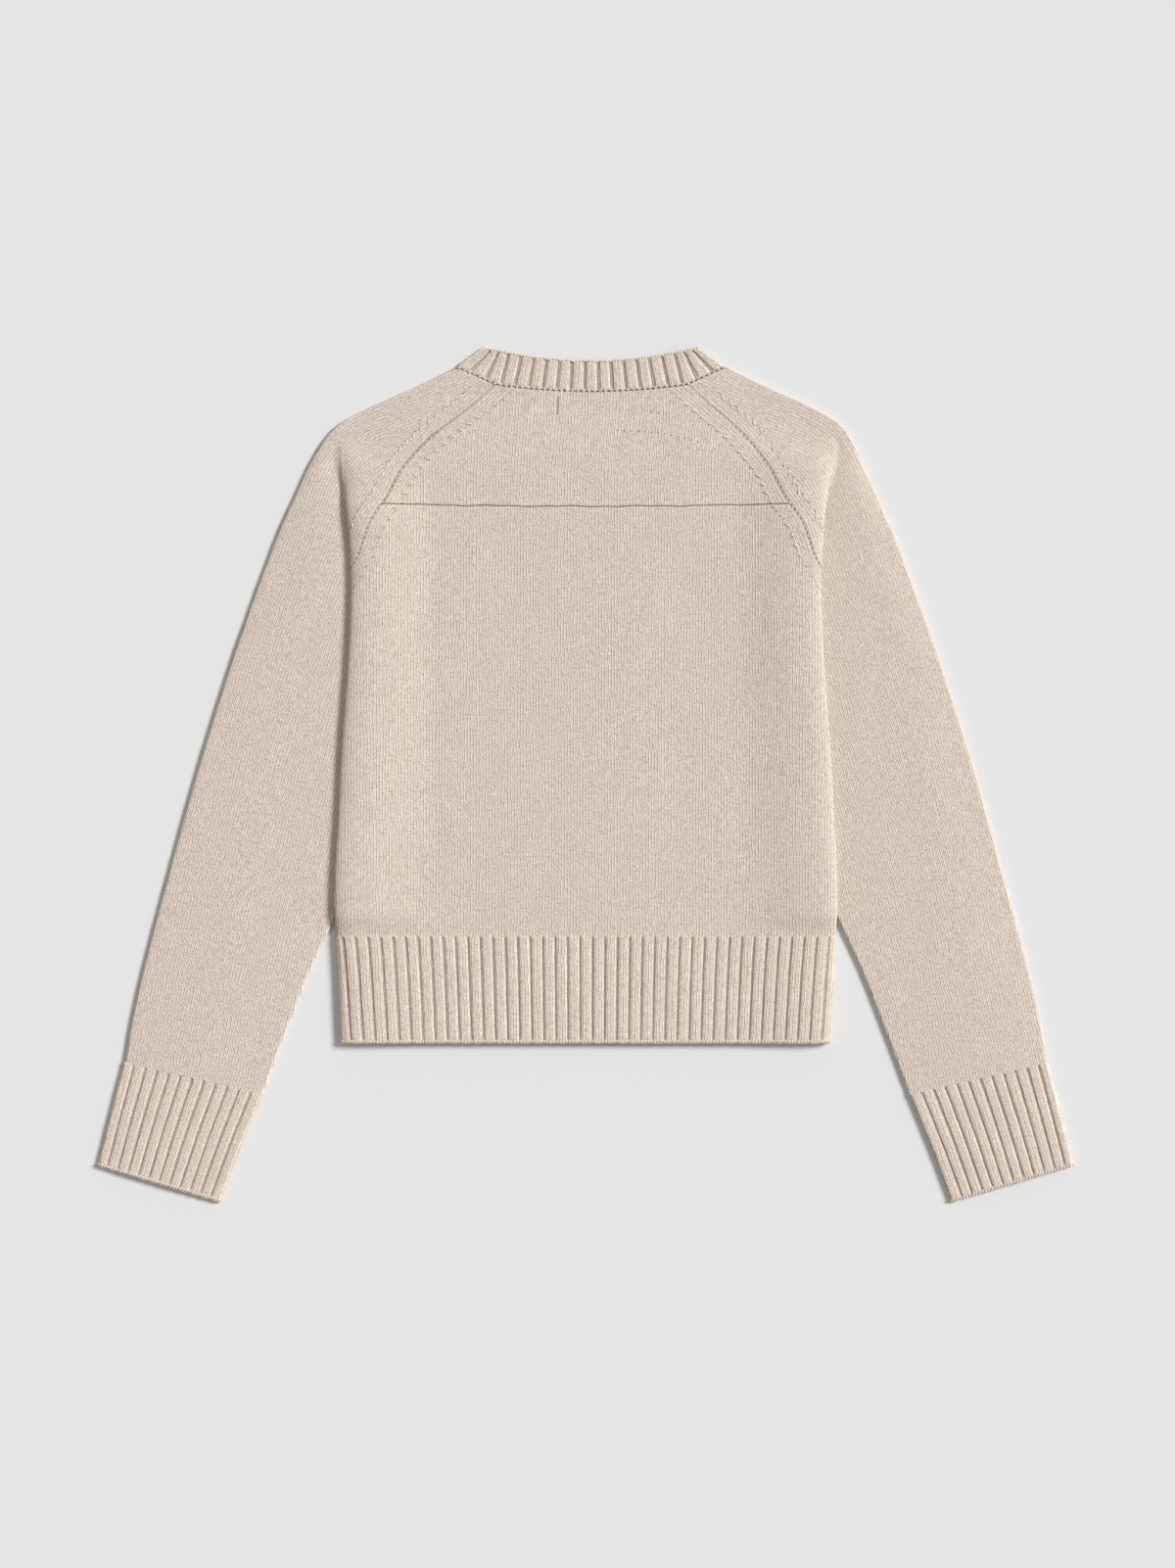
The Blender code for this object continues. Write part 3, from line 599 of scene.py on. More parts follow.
def seam_edge(distance, width=0.9):
    """How far the cloth has rolled in at a seam, from 1 at its edge to 0."""
    return np.exp(-((distance / width) ** 2))


def yoke_sag(x):
    """The yoke seam sags at the middle of the back and wanders a little."""
    sag = YOKE_SAG * np.clip(1.0 - (x / 150.0) ** 2, 0.0, 1.0)
    wander = 0.32 * np.sin(x / 9.0) + 0.22 * np.sin(x / 3.7 + 1.0)
    return sag + wander * np.clip(1.0 - (np.abs(x) / 150.0) ** 4, 0.0, 1.0)


def both_halves(rows):
    """Joins the right half's rows with their mirror image, left end first."""
    left = rows[:, :0:-1].copy()
    left[..., 0] *= -1
    return np.concatenate([left, rows], axis=1)


def crossing(pairs, y):
    """A row of (x, z) pairs as points (x, y, z)."""
    return np.stack([pairs[:, 0], np.full(len(pairs), y), pairs[:, 1]], 1)


YOKE_COLUMNS = 84


def back_rows(ys, spacing):
    """The right half of the back at heights ys: points, normals, lengths, and distances from the
    raglan seam and along it. The spacing is by the folds, or even."""
    middle, normals, lengths, seam, runs = [], [], [], [], []
    for y in ys:
        if y < UNDERARM_Y:
            section = body_section(y)
            high = section.marks[3]
            wanted = half_columns(section, high)
        else:
            section = armhole_section(y)
            high = raglan_length(y, section) - SEAM_HALF
            wanted = half_columns(section, section.marks[3])
        if spacing == "even":
            wanted = np.linspace(0.0, high, YOKE_COLUMNS)
        place = spread(wanted, 0.0, high)
        point, normal = section.at(place)
        flat = np.zeros(len(place))
        run, lean = raglan_run(y)
        middle.append(crossing(point, y))
        normals.append(crossing(normal, 0.0))
        lengths.append(place)
        seam.append((high - place) * lean if y >= UNDERARM_Y else flat + FAR)
        runs.append(flat + run)
    return [np.array(grid) for grid in (middle, normals, lengths, seam, runs)]


def raglan_relief(seam):
    """The raglan seam's groove, and the two raised wales that run along each side of it."""
    wales = 0.2 * np.exp(-(((seam - 1.8) / 0.9) ** 2)) + 0.06 * np.exp(-(((seam - 5.2) / 1.0) ** 2))
    wales += 0.03 * np.exp(-(((seam - MARGIN + 0.9) / 1.6) ** 2))
    return wales - 0.45 * seam_edge(seam, 0.6)


def doubled(grid):
    """The right half's values with their mirror image before them."""
    return np.concatenate([grid[:, :0:-1], grid], axis=1)


def both_ways(grid):
    """The right half's lengths, counted from the centre line, with the left half's as negative."""
    return np.concatenate([-grid[:, :0:-1], grid], axis=1)


back_ys = np.concatenate([
    np.arange(HEM_TOP_Y, UNDERARM_Y - 2.0, 3.6),
    np.arange(UNDERARM_Y, YOKE_Y - 1, 2.0),
    [YOKE_Y - 0.8, YOKE_Y - SEAM_HALF],
])
middle, normals, lengths, seam, runs = back_rows(back_ys, "folds")
stitches = np.stack([both_ways(lengths), doubled(middle[..., 1])], -1)
middle, normals = both_halves(middle), both_halves(normals)
seam, runs = doubled(seam), doubled(runs)
top_edge = YOKE_Y - middle[..., 1]
# Painted shade along the raglan seam's groove and at the top edge under the yoke seam.
hollow = 0.5 * seam_edge(seam, 0.4) + 0.85 * seam_edge(top_edge, 0.5)
relief = raglan_relief(seam) - 0.6 * seam_edge(top_edge, 0.7)
middle[..., 1] -= yoke_sag(middle[..., 0]) * ease((middle[..., 1] - YOKE_Y + 14.0) / 14.0)
back = cloth("knitted_back", middle, normals, stitches, relief, hollow, plain_knit, beside=(seam, runs))
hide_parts("back")

yarn_shader = Shader("oatmeal yarn", 0.95, 0.1)
yarn_where = yarn_shader.node("ShaderNodeTexCoord").outputs["Object"]
yarn_tone = yarn_shader.noise(yarn_where, 1500.0, 2.0)
yarn_colour = yarn_shader.mix(yarn_tone, (0.6, 0.5, 0.41), (0.84, 0.74, 0.64))
yarn_shader.join(yarn_colour, yarn_shader.surface["Base Color"])


def stitch_group():
    """Geometry Nodes that lay small yarn loops along a line, at an even spacing and a slant."""
    group = bpy.data.node_groups.new("stitches along a line", "GeometryNodeTree")
    interface, nodes, links = group.interface, group.nodes, group.links
    interface.new_socket("Geometry", in_out="INPUT", socket_type="NodeSocketGeometry")
    for key in ("Spacing", "Length", "Width", "Height", "Slant", "Start"):
        interface.new_socket(key, in_out="INPUT", socket_type="NodeSocketFloat")
    interface.new_socket("Seed", in_out="INPUT", socket_type="NodeSocketInt")
    interface.new_socket("Material", in_out="INPUT", socket_type="NodeSocketMaterial")
    interface.new_socket("Geometry", in_out="OUTPUT", socket_type="NodeSocketGeometry")
    given, result = nodes.new("NodeGroupInput"), nodes.new("NodeGroupOutput")
    line = nodes.new("GeometryNodeMeshToCurve")
    trim = nodes.new("GeometryNodeTrimCurve")
    trim.mode = "LENGTH"
    trim.inputs[5].default_value = 100.0
    places = nodes.new("GeometryNodeResampleCurve")
    places.mode = "LENGTH"
    ball = nodes.new("GeometryNodeMeshUVSphere")
    ball.inputs["Segments"].default_value = 8
    ball.inputs["Rings"].default_value = 5
    ball.inputs["Radius"].default_value = 0.5
    size = nodes.new("ShaderNodeCombineXYZ")
    shape = nodes.new("GeometryNodeTransform")
    tangent = nodes.new("GeometryNodeInputTangent")
    align = nodes.new("FunctionNodeAlignEulerToVector")
    align.axis, align.pivot_axis = "X", "AUTO"
    turn = nodes.new("FunctionNodeRotateEuler")
    turn.rotation_type, turn.space = "AXIS_ANGLE", "LOCAL"
    turn.inputs["Axis"].default_value = (0.0, 0.0, 1.0)
    vary = nodes.new("FunctionNodeRandomValue")
    vary.data_type = "FLOAT"
    vary.inputs[2].default_value, vary.inputs[3].default_value = 0.8, 1.15
    lay = nodes.new("GeometryNodeInstanceOnPoints")
    real = nodes.new("GeometryNodeRealizeInstances")
    smooth = nodes.new("GeometryNodeSetShadeSmooth")
    paint = nodes.new("GeometryNodeSetMaterial")
    for source, target in (
        (given.outputs["Geometry"], line.inputs[0]),
        (line.outputs[0], trim.inputs[0]),
        (given.outputs["Start"], trim.inputs[4]),
        (trim.outputs[0], places.inputs["Curve"]),
        (given.outputs["Spacing"], places.inputs["Length"]),
        (given.outputs["Length"], size.inputs[0]),
        (given.outputs["Width"], size.inputs[1]),
        (given.outputs["Height"], size.inputs[2]),
        (ball.outputs[0], shape.inputs["Geometry"]),
        (size.outputs[0], shape.inputs["Scale"]),
        (tangent.outputs[0], align.inputs["Vector"]),
        (align.outputs[0], turn.inputs["Rotation"]),
        (given.outputs["Slant"], turn.inputs["Angle"]),
        (given.outputs["Seed"], vary.inputs["Seed"]),
        (places.outputs[0], lay.inputs["Points"]),
        (shape.outputs[0], lay.inputs["Instance"]),
        (turn.outputs[0], lay.inputs["Rotation"]),
        (vary.outputs[1], lay.inputs["Scale"]),
        (lay.outputs[0], real.inputs[0]),
        (real.outputs[0], smooth.inputs[0]),
        (smooth.outputs[0], paint.inputs["Geometry"]),
        (given.outputs["Material"], paint.inputs["Material"]),
        (paint.outputs[0], result.inputs[0]),
    ):
        links.new(source, target)
    return group


STITCHES = stitch_group()
SEWN = {
    "raglan": dict(Spacing=4.1, Length=1.1, Width=2.6, Height=0.6, Slant=90.0),
    "raglan_hole": dict(Spacing=4.1, Length=1.8, Width=0.8, Height=0.7, Slant=0.0),
    "fashioning": dict(Spacing=7.6, Length=5.6, Width=1.4, Height=0.9, Slant=36.0),
    "picked_up": dict(Spacing=4.2, Length=3.0, Width=1.6, Height=1.2, Slant=52.0),
    "picked_hole": dict(Spacing=4.2, Length=1.3, Width=1.2, Height=0.7, Slant=0.0),
    "cast_off": dict(Spacing=2.5, Length=3.2, Width=1.7, Height=1.5, Slant=38.0),
    "rib_top": dict(Spacing=4.78, Length=2.4, Width=1.3, Height=0.7, Slant=80.0),
    "button_hole": dict(Spacing=2.6, Length=1.2, Width=1.2, Height=0.3, Slant=0.0),
    "thread": dict(Spacing=1.3, Length=1.8, Width=0.6, Height=0.5, Slant=0.0),
    "tacking": dict(Spacing=2.1, Length=2.2, Width=0.7, Height=0.6, Slant=0.0),
    "shaping": dict(Spacing=4.9, Length=1.5, Width=1.0, Height=0.3, Slant=8.0),
}


def sew(name, lines, kind, seed=1, flip=1.0, start=0.0, yarn=yarn_shader):
    """Lays stitches of one kind along lines of points in millimetres, as one plain mesh."""
    points, edges = [], []
    for line in lines:
        base = len(points)
        points += [tuple(p) for p in np.asarray(line) * MM]
        edges += [(base + k, base + k + 1) for k in range(len(line) - 1)]
    guide_mesh = bpy.data.meshes.new(name + "_line")
    guide_mesh.from_pydata(points, edges, [])
    guide = placed(name + "_line", guide_mesh)
    modifier = guide.modifiers.new("stitches", "NODES")
    modifier.node_group = STITCHES
    items = STITCHES.interface.items_tree
    sockets = {item.name: item.identifier for item in items if item.in_out == "INPUT"}
    for key, value in SEWN[kind].items():
        modifier[sockets[key]] = math.radians(value) * flip if key == "Slant" else value * MM
    modifier[sockets["Start"]] = start * MM
    modifier[sockets["Seed"]] = seed
    modifier[sockets["Material"]] = yarn.material
    bpy.context.view_layer.update()
    graph = bpy.context.evaluated_depsgraph_get()
    mesh = bpy.data.meshes.new_from_object(guide.evaluated_get(graph))
    bpy.data.objects.remove(guide)
    piece = placed(name, mesh)
    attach(piece, "root")
    return piece


def raglan_points(offset, lift, low_y, high_y, side, step=3.0):
    """Points beside the raglan seam, offset to the sleeve's side of it, lifted off the cloth."""
    points = []
    for y in np.arange(low_y, high_y, step):
        section = armhole_section(y)
        _, lean = raglan_run(y)
        place = raglan_length(y, section) + offset / lean
        point, normal = section.at([place])
        spot = np.array([[[point[0, 0], y, point[0, 1]]]])
        up = np.array([[[normal[0, 0], 0.0, normal[0, 1]]]])
        spot[..., 2] += creased(spot, up)
        spot = spot + up * (WALL / 2 + lift)
        points.append((side * spot[0, 0, 0] + neck_shift(y), y, spot[0, 0, 2]))
    return points


for side_name, side in SIDES:
    line = raglan_points(-MARGIN + 0.6, 0.1, 174.0, 206.0, side)
    sew(f"fashioning_on_back_{side_name}", [line], "fashioning", seed=4, flip=side)

# Yoke: the upper back, knitted as its own piece, shaped by the raglan seams at its sides and by the
# neck above. It comes down from the level of the back towards the neck.

BACK_NECK_DIP = 5.4


def back_neck_y(x):
    """The back neck seam, which dips at the centre."""
    return BACK_NECK_Y - BACK_NECK_DIP * (1.0 - (x / BACK_NECK_X) ** 2)


yoke_top = BACK_NECK_Y - BACK_NECK_DIP - 6.0
yoke_ys = np.concatenate([[YOKE_Y + SEAM_HALF, YOKE_Y + 0.9], np.arange(YOKE_Y + 2.4, yoke_top, 1.9)])
middle, normals, lengths, seam, runs = back_rows(yoke_ys, "even")
shares = np.linspace(0.0, 1.0, 9)[1:]
ending_y = BACK_NECK_Y - 0.15
ending = back_rows([ending_y], "even")
last_rows = []
for share in shares:
    row = between(middle[-1], ending[0][0], share)
    row[:, 1] = between(yoke_ys[-1], back_neck_y(row[:, 0]) - 0.15, share)
    last_rows.append(row)
middle = np.concatenate([middle, last_rows])
normals = np.concatenate([normals, np.repeat(normals[-1:], len(shares), 0)])
lengths, seam, runs = (
    np.concatenate([rows, [between(rows[-1], last[0], share) for share in shares]])
    for rows, last in zip((lengths, seam, runs), ending[2:])
)
stitches = np.stack([both_ways(lengths), doubled(middle[..., 1])], -1)
middle, normals = both_halves(middle), both_halves(normals)
seam, runs = doubled(seam), doubled(runs)
low_edge = middle[..., 1] - YOKE_Y
neck_edge = np.clip(back_neck_y(middle[..., 0]) - middle[..., 1], 0.0, FAR)
# Painted shade along the raglan seams, the yoke seam and the back neck seam.
hollow = 0.5 * seam_edge(seam, 0.4) + 0.5 * seam_edge(low_edge, 0.3) + 0.6 * seam_edge(neck_edge, 0.6)
relief = raglan_relief(seam) - 0.5 * seam_edge(neck_edge, 0.9)
relief += 0.5 * np.exp(-(((low_edge - 1.2) / 1.0) ** 2))
middle[..., 1] -= yoke_sag(middle[..., 0]) * ease((YOKE_Y + 14.0 - middle[..., 1]) / 14.0)
yoke = cloth("knitted_yoke", middle, normals, stitches, relief, hollow, plain_knit, beside=(seam, runs))
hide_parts("back_yoke")

# Painted shade: a dark brown for the small beads that stand in for the shade inside holes, also used for
# the left tacking stitches, which are dark.
painted_shade_and_dark_thread = Shader("painted shade and dark thread", 1.0, 0.0)
painted_shade_and_dark_thread.surface["Base Color"].default_value = (0.2, 0.145, 0.105, 1.0)


def on_back(points, lift):
    """Points (x, y) of the upper back, x from the garment's own middle, on the cloth's surface."""
    found = []
    for x, y in points:
        section = armhole_section(y)
        point, normal = section.at([section.length_at_x(abs(x), 1)])
        found.append((x, y, float(point[0, 1])))
    found = np.array(found)
    return laid(found, np.tile([0.0, 0.0, 1.0], (len(found), 1)), np.full(len(found), WALL / 2 + lift))


for side_name, side in SIDES:
    line = raglan_points(-MARGIN + 0.6, 0.1, 208.0, 286.0, side)
    sew(f"fashioning_on_yoke_{side_name}", [line], "fashioning", seed=5, flip=side)
tack_y = np.linspace(289.0, 276.4, 7)
shaped = [(22.0, 263.5), (34.0, 262.6), (48.0, 262.0), (60.0, 260.4), (72.0, 257.5), (84.0, 254.6)]
# The shaping rows are dark beads of painted shade, standing in for the shade in their small holes. The left
# tacking is sewn in the same dark colour, the right one in the yarn's.
for name, points, kind, yarn in (
    ("label_tacking_left", [(-25.2, y) for y in tack_y], "tacking", painted_shade_and_dark_thread),
    ("label_tacking_right", [(19.8, y) for y in tack_y], "tacking", yarn_shader),
    ("shaping_row", shaped, "shaping", painted_shade_and_dark_thread),
    ("shaping_row_above", [(46.0, 277.4), (58.0, 276.4)], "shaping", painted_shade_and_dark_thread),
):
    sew(name, [on_back(points, 0.05)], kind, seed=23, yarn=yarn)

# Sleeves: each one panel from the neck to the cuff, joined in a tube under the arm. Its cap lies
# with the yoke, its lower part passes under the body's side fold, and it lies flat, both plies.

SLEEVE_ROWS = [  # inner_x, inner_y, outer_x, outer_y
    (247.6, -245.2, 353.7, -220.8),
    (229.5, -197.0, 348.5, -190.0),
    (211.0, -150.0, 341.0, -156.0),
    (192.0, -109.0, 331.0, -117.0),
    (175.0, -70.0, 320.5, -78.0),
    (159.0, -26.0, 308.5, -34.0),
    (157.4, 20.0, 294.7, 14.0),
    (157.4, 62.0, 281.0, 58.0),
    (157.4, 99.0, 268.0, 98.0),
]
FRONT_NECK_X = 84.0
FRONT_NECK_Y = 272.0
FOLD_FOOT_X = 101.1
FOLD_FOOT_Y = 311.6
SLEEVE_COUNTS = (46, 52, 9, 34)
TUBE_START, TUBE_TURN, TUBE_LOWER = 40, 8, 34
TUBE_ROWS = 84
WALE_BLEND = 12.0
CUFF_CORNER = (-312.0, 376.0)


def sleeve_places(x, y):
    """Distance in from the sleeve's outer fold, and length along it, of points (x, y). The wales fan
    out where the fold turns, so each stretch of the fold counts in its neighbourhood."""
    edge = np.array([CUFF_CORNER] + OUTLINE)[:, ::-1]
    step = np.diff(edge, axis=0)
    length = np.linalg.norm(step, axis=1)
    along = step / length[:, None]
    outward = np.stack([along[:, 1], -along[:, 0]], 1)
    middle_of = (edge[:-1] + edge[1:]) / 2
    run = np.cumsum(length) - length / 2
    away = np.stack([x, y], -1)[..., None, :] - middle_of
    inside = -(away * outward).sum(-1)
    share = np.exp(-(inside - inside.min(-1, keepdims=True)) / WALE_BLEND)
    share /= share.sum(-1, keepdims=True)
    return np.stack([(share * inside).sum(-1), (share * (run + (away * along).sum(-1))).sum(-1)], -1)


def sleeve_columns(section, low, high, tuck_share):
    """Places round a sleeve above the underarm. Where the tuck is open they are even."""
    marks = section.marks
    cap, upper, turn, lower = SLEEVE_COUNTS
    folded = list(np.linspace(min(low, marks[1] - 2.0), marks[1], 20)[:-1])
    folded += list(np.linspace(marks[1], marks[2], 12))
    folded += list(np.linspace(marks[2], marks[3], 8)[1:])
    folded += list(np.linspace(marks[3], marks[4], 9)[1:])
    folded += list(np.linspace(marks[4], marks[5], cap + upper - len(folded) + 1)[1:-1])
    even = np.linspace(low, marks[5], len(folded) + 1)[:-1]
    top = between(even, np.array(folded), tuck_share)
    rest = list(np.linspace(marks[5], marks[6], turn + 1)) + list(np.linspace(marks[6], high, lower)[1:])
    return np.concatenate([top, rest])


def front_raglan_x(y):
    """The front's raglan seam, and below it the side seam."""
    share = np.clip((y - UNDERARM_Y) / (FRONT_NECK_Y - UNDERARM_Y), 0.0, 1.0)
    return between(SIDE_SEAM_X, FRONT_NECK_X, share)


def sleeve_ends(y, section):
    """Lengths at the back and front ends of a sleeve's row: its raglan seams or the neck seam."""
    if y > BACK_NECK_Y:
        share = (y + 0.5 - BACK_NECK_Y) / (FOLD_FOOT_Y - BACK_NECK_Y)
        low = section.length_at_x(between(BACK_NECK_X, FOLD_FOOT_X, share), 5)
    else:
        low = raglan_length(y, section)
    if y > FRONT_NECK_Y:
        share = (y + 0.5 - FRONT_NECK_Y) / (FOLD_FOOT_Y - FRONT_NECK_Y)
        front_x = between(FRONT_NECK_X, FOLD_FOOT_X, share)
    else:
        front_x = front_raglan_x(y)
    return low + SEAM_HALF, section.marks[7] - front_x - SEAM_HALF


def sleeve_roll(share):
    """How the sleeve's upper ply lies: a low round form, highest past the middle."""
    return np.sin(math.pi * share**1.2) ** 0.8


def tube_row(row, count_start, count_top, count_turn, count_bottom, puff=0.0):
    """A row round a flat tube, from its inner fold over the top to the outer fold and back under."""
    inner_x, inner_y, outer_x, outer_y = row
    inner, outer = np.array([inner_x, inner_y]), np.array([outer_x, outer_y])
    width = np.linalg.norm(outer - inner)
    along = (outer - inner) / width
    inset = TUCK_R + FLOOR_PLY
    slit = 0.1 / TUCK_R
    centre_z = FLOOR_PLY + TUCK_R
    start_share = np.linspace(0.0, 1.0, count_start)
    section = Section([
        arc(inset, centre_z, TUCK_R, math.pi - slit, QUARTER),
        np.array([[width - inset, TOP_PLY]]),
        arc(width - inset, centre_z, TUCK_R, QUARTER, -QUARTER),
        np.array([[inset, FLOOR_PLY]]),
        arc(inset, centre_z, TUCK_R, -QUARTER, -math.pi + slit),
    ])
    marks = section.marks
    fine_end = marks[1] + 0.05 * (marks[2] - marks[1])
    places = np.concatenate([
        start_share * fine_end,
        np.linspace(fine_end, marks[2], count_top + 1)[1:],
        np.linspace(marks[2], marks[3], count_turn + 1)[1:],
        np.linspace(marks[3], marks[4], count_bottom - 7)[1:],
        np.linspace(marks[4], marks[5], 9)[1:],
    ])
    line, normal = section.at(places)
    share = np.clip(line[:, 0] / width, 0.0, 1.0)
    line[:, 1] += puff * (normal[:, 1] > 0.2) * sleeve_roll(share)
    middle = np.stack([inner[0] + along[0] * line[:, 0], inner[1] + along[1] * line[:, 0], line[:, 1]], 1)
    across = np.stack([along[0] * normal[:, 0], along[1] * normal[:, 0], normal[:, 1]], 1)
    return middle, across, places


def round_the_fold(stitches, middle, turn_start, turn_end):
    """Carries the stitch coordinate on round the sleeve's outer fold and back underneath. Seen from
    above it would stand still down the fold's side, and the stitches there would be drawn out."""
    across = stitches[..., 0]
    heights = np.abs(np.diff(middle[..., 2], axis=1, prepend=middle[:, :1, 2]))
    heights[:, : turn_start + 1] = 0.0
    heights[:, turn_end + 1 :] = 0.0
    half = (turn_start + turn_end) // 2
    outward = np.sign(across[:, half : half + 1] - across[:, turn_start - 6 : turn_start - 5])
    crest_across = across[:, half : half + 1]
    beyond = np.arange(across.shape[1])[None, :] > half
    across = np.where(beyond, 2.0 * crest_across - across, across)
    return np.stack([across + outward * np.cumsum(heights, axis=1), stitches[..., 1]], -1)


def tube_rows(table, count):
    """Table rows joined by smooth curves, count rows in all."""
    table = np.array(table)
    key = np.arange(len(table), dtype=float)
    steps = np.linspace(0.0, len(table) - 1.0, count)
    return [tuple(curve_at(list(zip(key, table[:, k])), t) for k in range(4)) for t in steps]


PUFF = 1.6
cap_ys = np.concatenate([np.arange(UNDERARM_Y, 205.0, 2.2), np.arange(205.0, 310.0, 2.0), [311.2, 312.1]])
cap_middle, cap_normals, cap_seam, cap_runs = [], [], [], []
for y in cap_ys:
    section = armhole_section(y)
    low, high = sleeve_ends(y, section)
    place = spread(sleeve_columns(section, low, high, ease((TUCK_START_Y - y) / 14.0)), low, high)
    point, normal = section.at(place)
    on_sleeve = (place > section.marks[4]) & (place < section.marks[5])
    share = np.clip((place - section.marks[4]) / (section.marks[5] - section.marks[4]), 0.0, 1.0)
    reach = ease((FOOT_START_Y - y) / FOOT_LENGTH)
    point[:, 1] += PUFF * reach * np.where(on_sleeve, sleeve_roll(share), 0.0)
    flat = np.zeros(len(place))
    run, lean = raglan_run(y)
    cap_middle.append(crossing(point, y))
    cap_normals.append(crossing(normal, 0.0))
    cap_seam.append((place - low) * lean if y < BACK_NECK_Y else flat + FAR)
    cap_runs.append(flat + run)
cap, upper, turn, lower = SLEEVE_COUNTS
columns = len(cap_middle[0])
tube_upper = columns - TUBE_START - TUBE_TURN - TUBE_LOWER
tubes = [
    tube_row(row, TUBE_START, tube_upper, TUBE_TURN, TUBE_LOWER, PUFF)
    for row in tube_rows(SLEEVE_ROWS, TUBE_ROWS)
]
middle = np.concatenate([np.array([t[0] for t in tubes]), np.array(cap_middle)])
normals = np.concatenate([np.array([t[1] for t in tubes]), np.array(cap_normals)])
seam = np.concatenate([np.full((len(tubes), columns), FAR), np.array(cap_seam)])
runs = np.concatenate([np.zeros((len(tubes), columns)), np.array(cap_runs)])
stitches = sleeve_places(middle[..., 0], middle[..., 1])
stitches = round_the_fold(stitches, middle, columns - lower - turn - 1, columns - lower)
neck_line = np.interp(middle[..., 0], [BACK_NECK_X, FOLD_FOOT_X], [BACK_NECK_Y, FOLD_FOOT_Y])
neck_edge = np.where(normals[..., 2] > 0.5, np.abs(neck_line - middle[..., 1]) * 0.9, FAR)
# Painted shade along the raglan seam and the neck seam.
hollow = 0.5 * seam_edge(seam, 0.4) + 0.6 * seam_edge(neck_edge, 0.6)
relief = raglan_relief(seam) - 0.4 * seam_edge(neck_edge, 0.9)
for side_name, side in SIDES:
    mirror = np.array([side, 1, 1])
    sleeve = cloth(
        f"knitted_sleeve_{side_name}", middle * mirror, normals * mirror, stitches, relief, hollow,
        plain_knit, beside=(seam, runs),
    )
    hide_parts(f"sleeve_{side_name}")
    seam_line = raglan_points(0.0, -0.1, 136.0, 297.0, side)
    beside_seam = raglan_points(MARGIN - 0.6, 0.1, 190.0, 292.0, side)
    sleeve_stitches = [
        sew(f"raglan_stitches_{side_name}", [seam_line], "raglan", seed=3),
        # Dark beads of painted shade between the raglan stitches, for the shade in the seam's holes.
        sew(f"raglan_holes_{side_name}", [seam_line], "raglan_hole", seed=3, start=2.05, yarn=painted_shade_and_dark_thread),
        sew(f"fashioning_on_sleeve_{side_name}", [beside_seam], "fashioning", seed=7, flip=-side),
    ]

# Fronts: two panels that lie face down on the surface under the back. Each has a straight edge at
# its band, a raglan seam to the sleeve, a side seam to the back and a deeper neck than the back.

BAND_HALF = 15.0
BAND_RAMP = 26.0
BUTTONHOLE_LEVEL = 2.25
BUTTON_BAND_LEVEL = 4.35
LAPPED = (("right", 1, BUTTONHOLE_LEVEL), ("left", -1, BUTTON_BAND_LEVEL))
FRONT_COLUMNS = 84
FRONT_NECK_DROP = 57.0
FRONT_FOOT_Y = FRONT_NECK_Y - FRONT_NECK_DROP - 8.0


def front_neck_y(x):
    """The front neck seam, a quarter of an ellipse on each side."""
    share = np.clip(np.abs(x) / FRONT_NECK_X, 0.0, 1.0)
    return FRONT_NECK_Y - FRONT_NECK_DROP * np.sqrt(1.0 - share * share)


def front_level(x, y, band_level):
    """Height of a front: at its band, on the surface, and up to the back at the side seam."""
    z = between(band_level, FLOOR_PLY, ease((np.abs(x) - BAND_HALF) / BAND_RAMP))
    at_seam = (tuck_level(y) - FLOOR_PLY) * ease((UNDERARM_Y + 2.0 - y) / 16.0)
    return z + at_seam * ease((np.abs(x) - 124.0) / (SIDE_SEAM_X - 128.0))


def front_grid(ys, band_level):
    """Rows of a front from its band to its outer seam, level rows first and then the neck."""
    shares = np.linspace(0.0, 1.0, FRONT_COLUMNS)
    rows = []
    for y in ys:
        xs = between(BAND_HALF + 0.2, front_raglan_x(y) - SEAM_HALF, shares)
        rows.append(crossing(np.stack([xs, front_level(xs, y, band_level)], 1), y))
    return np.array(rows), shares


def outer_normals(middle):
    """Unit normals of a grid that lies face down, pointing to the surface below."""
    along = np.gradient(middle, axis=1)
    down = np.stack([along[..., 2], np.zeros(along.shape[:2]), -along[..., 0]], -1)
    down /= np.linalg.norm(down, axis=-1)[..., None]
    return down


front_ys = np.arange(HEM_TOP_Y + 0.1, FRONT_FOOT_Y, 4.5)
for side_name, side, band_level in LAPPED:
    middle, shares = front_grid(front_ys, band_level)
    foot = middle[-1]
    head_x = between(BAND_HALF + 0.2, FRONT_NECK_X - 0.4, shares**0.8)
    head_y = front_neck_y(head_x) - 0.25
    neck_rows = []
    for lift in np.linspace(0.0, 1.0, 18)[1:]:
        row = between(foot, np.stack([head_x, head_y, foot[:, 2]], 1), lift)
        outer_x = front_raglan_x(row[:, 1]) - SEAM_HALF
        row[:, 0] = np.minimum(row[:, 0], outer_x)
        row[-1, 0] = outer_x[-1]
        row[:, 2] = front_level(row[:, 0], row[:, 1], band_level)
        neck_rows.append(row)
    middle = np.concatenate([middle, neck_rows])
    normals = outer_normals(middle)
    mirror = np.array([side, 1, 1])
    stitches = middle[..., :2].copy()
    edge = np.minimum(middle[..., 0] - BAND_HALF, front_raglan_x(middle[..., 1]) - middle[..., 0])
    # Painted shade along the front's edge at the band and along its seams.
    hollow = 0.6 * seam_edge(np.clip(edge, 0, FAR), 0.8)
    relief = -0.5 * seam_edge(np.clip(edge, 0, FAR), 0.9)
    front = cloth(
        f"knitted_front_{side_name}", middle * mirror, normals * mirror, stitches, relief, hollow,
        plain_knit, 0.0
    )
    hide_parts(f"front_{side_name}")

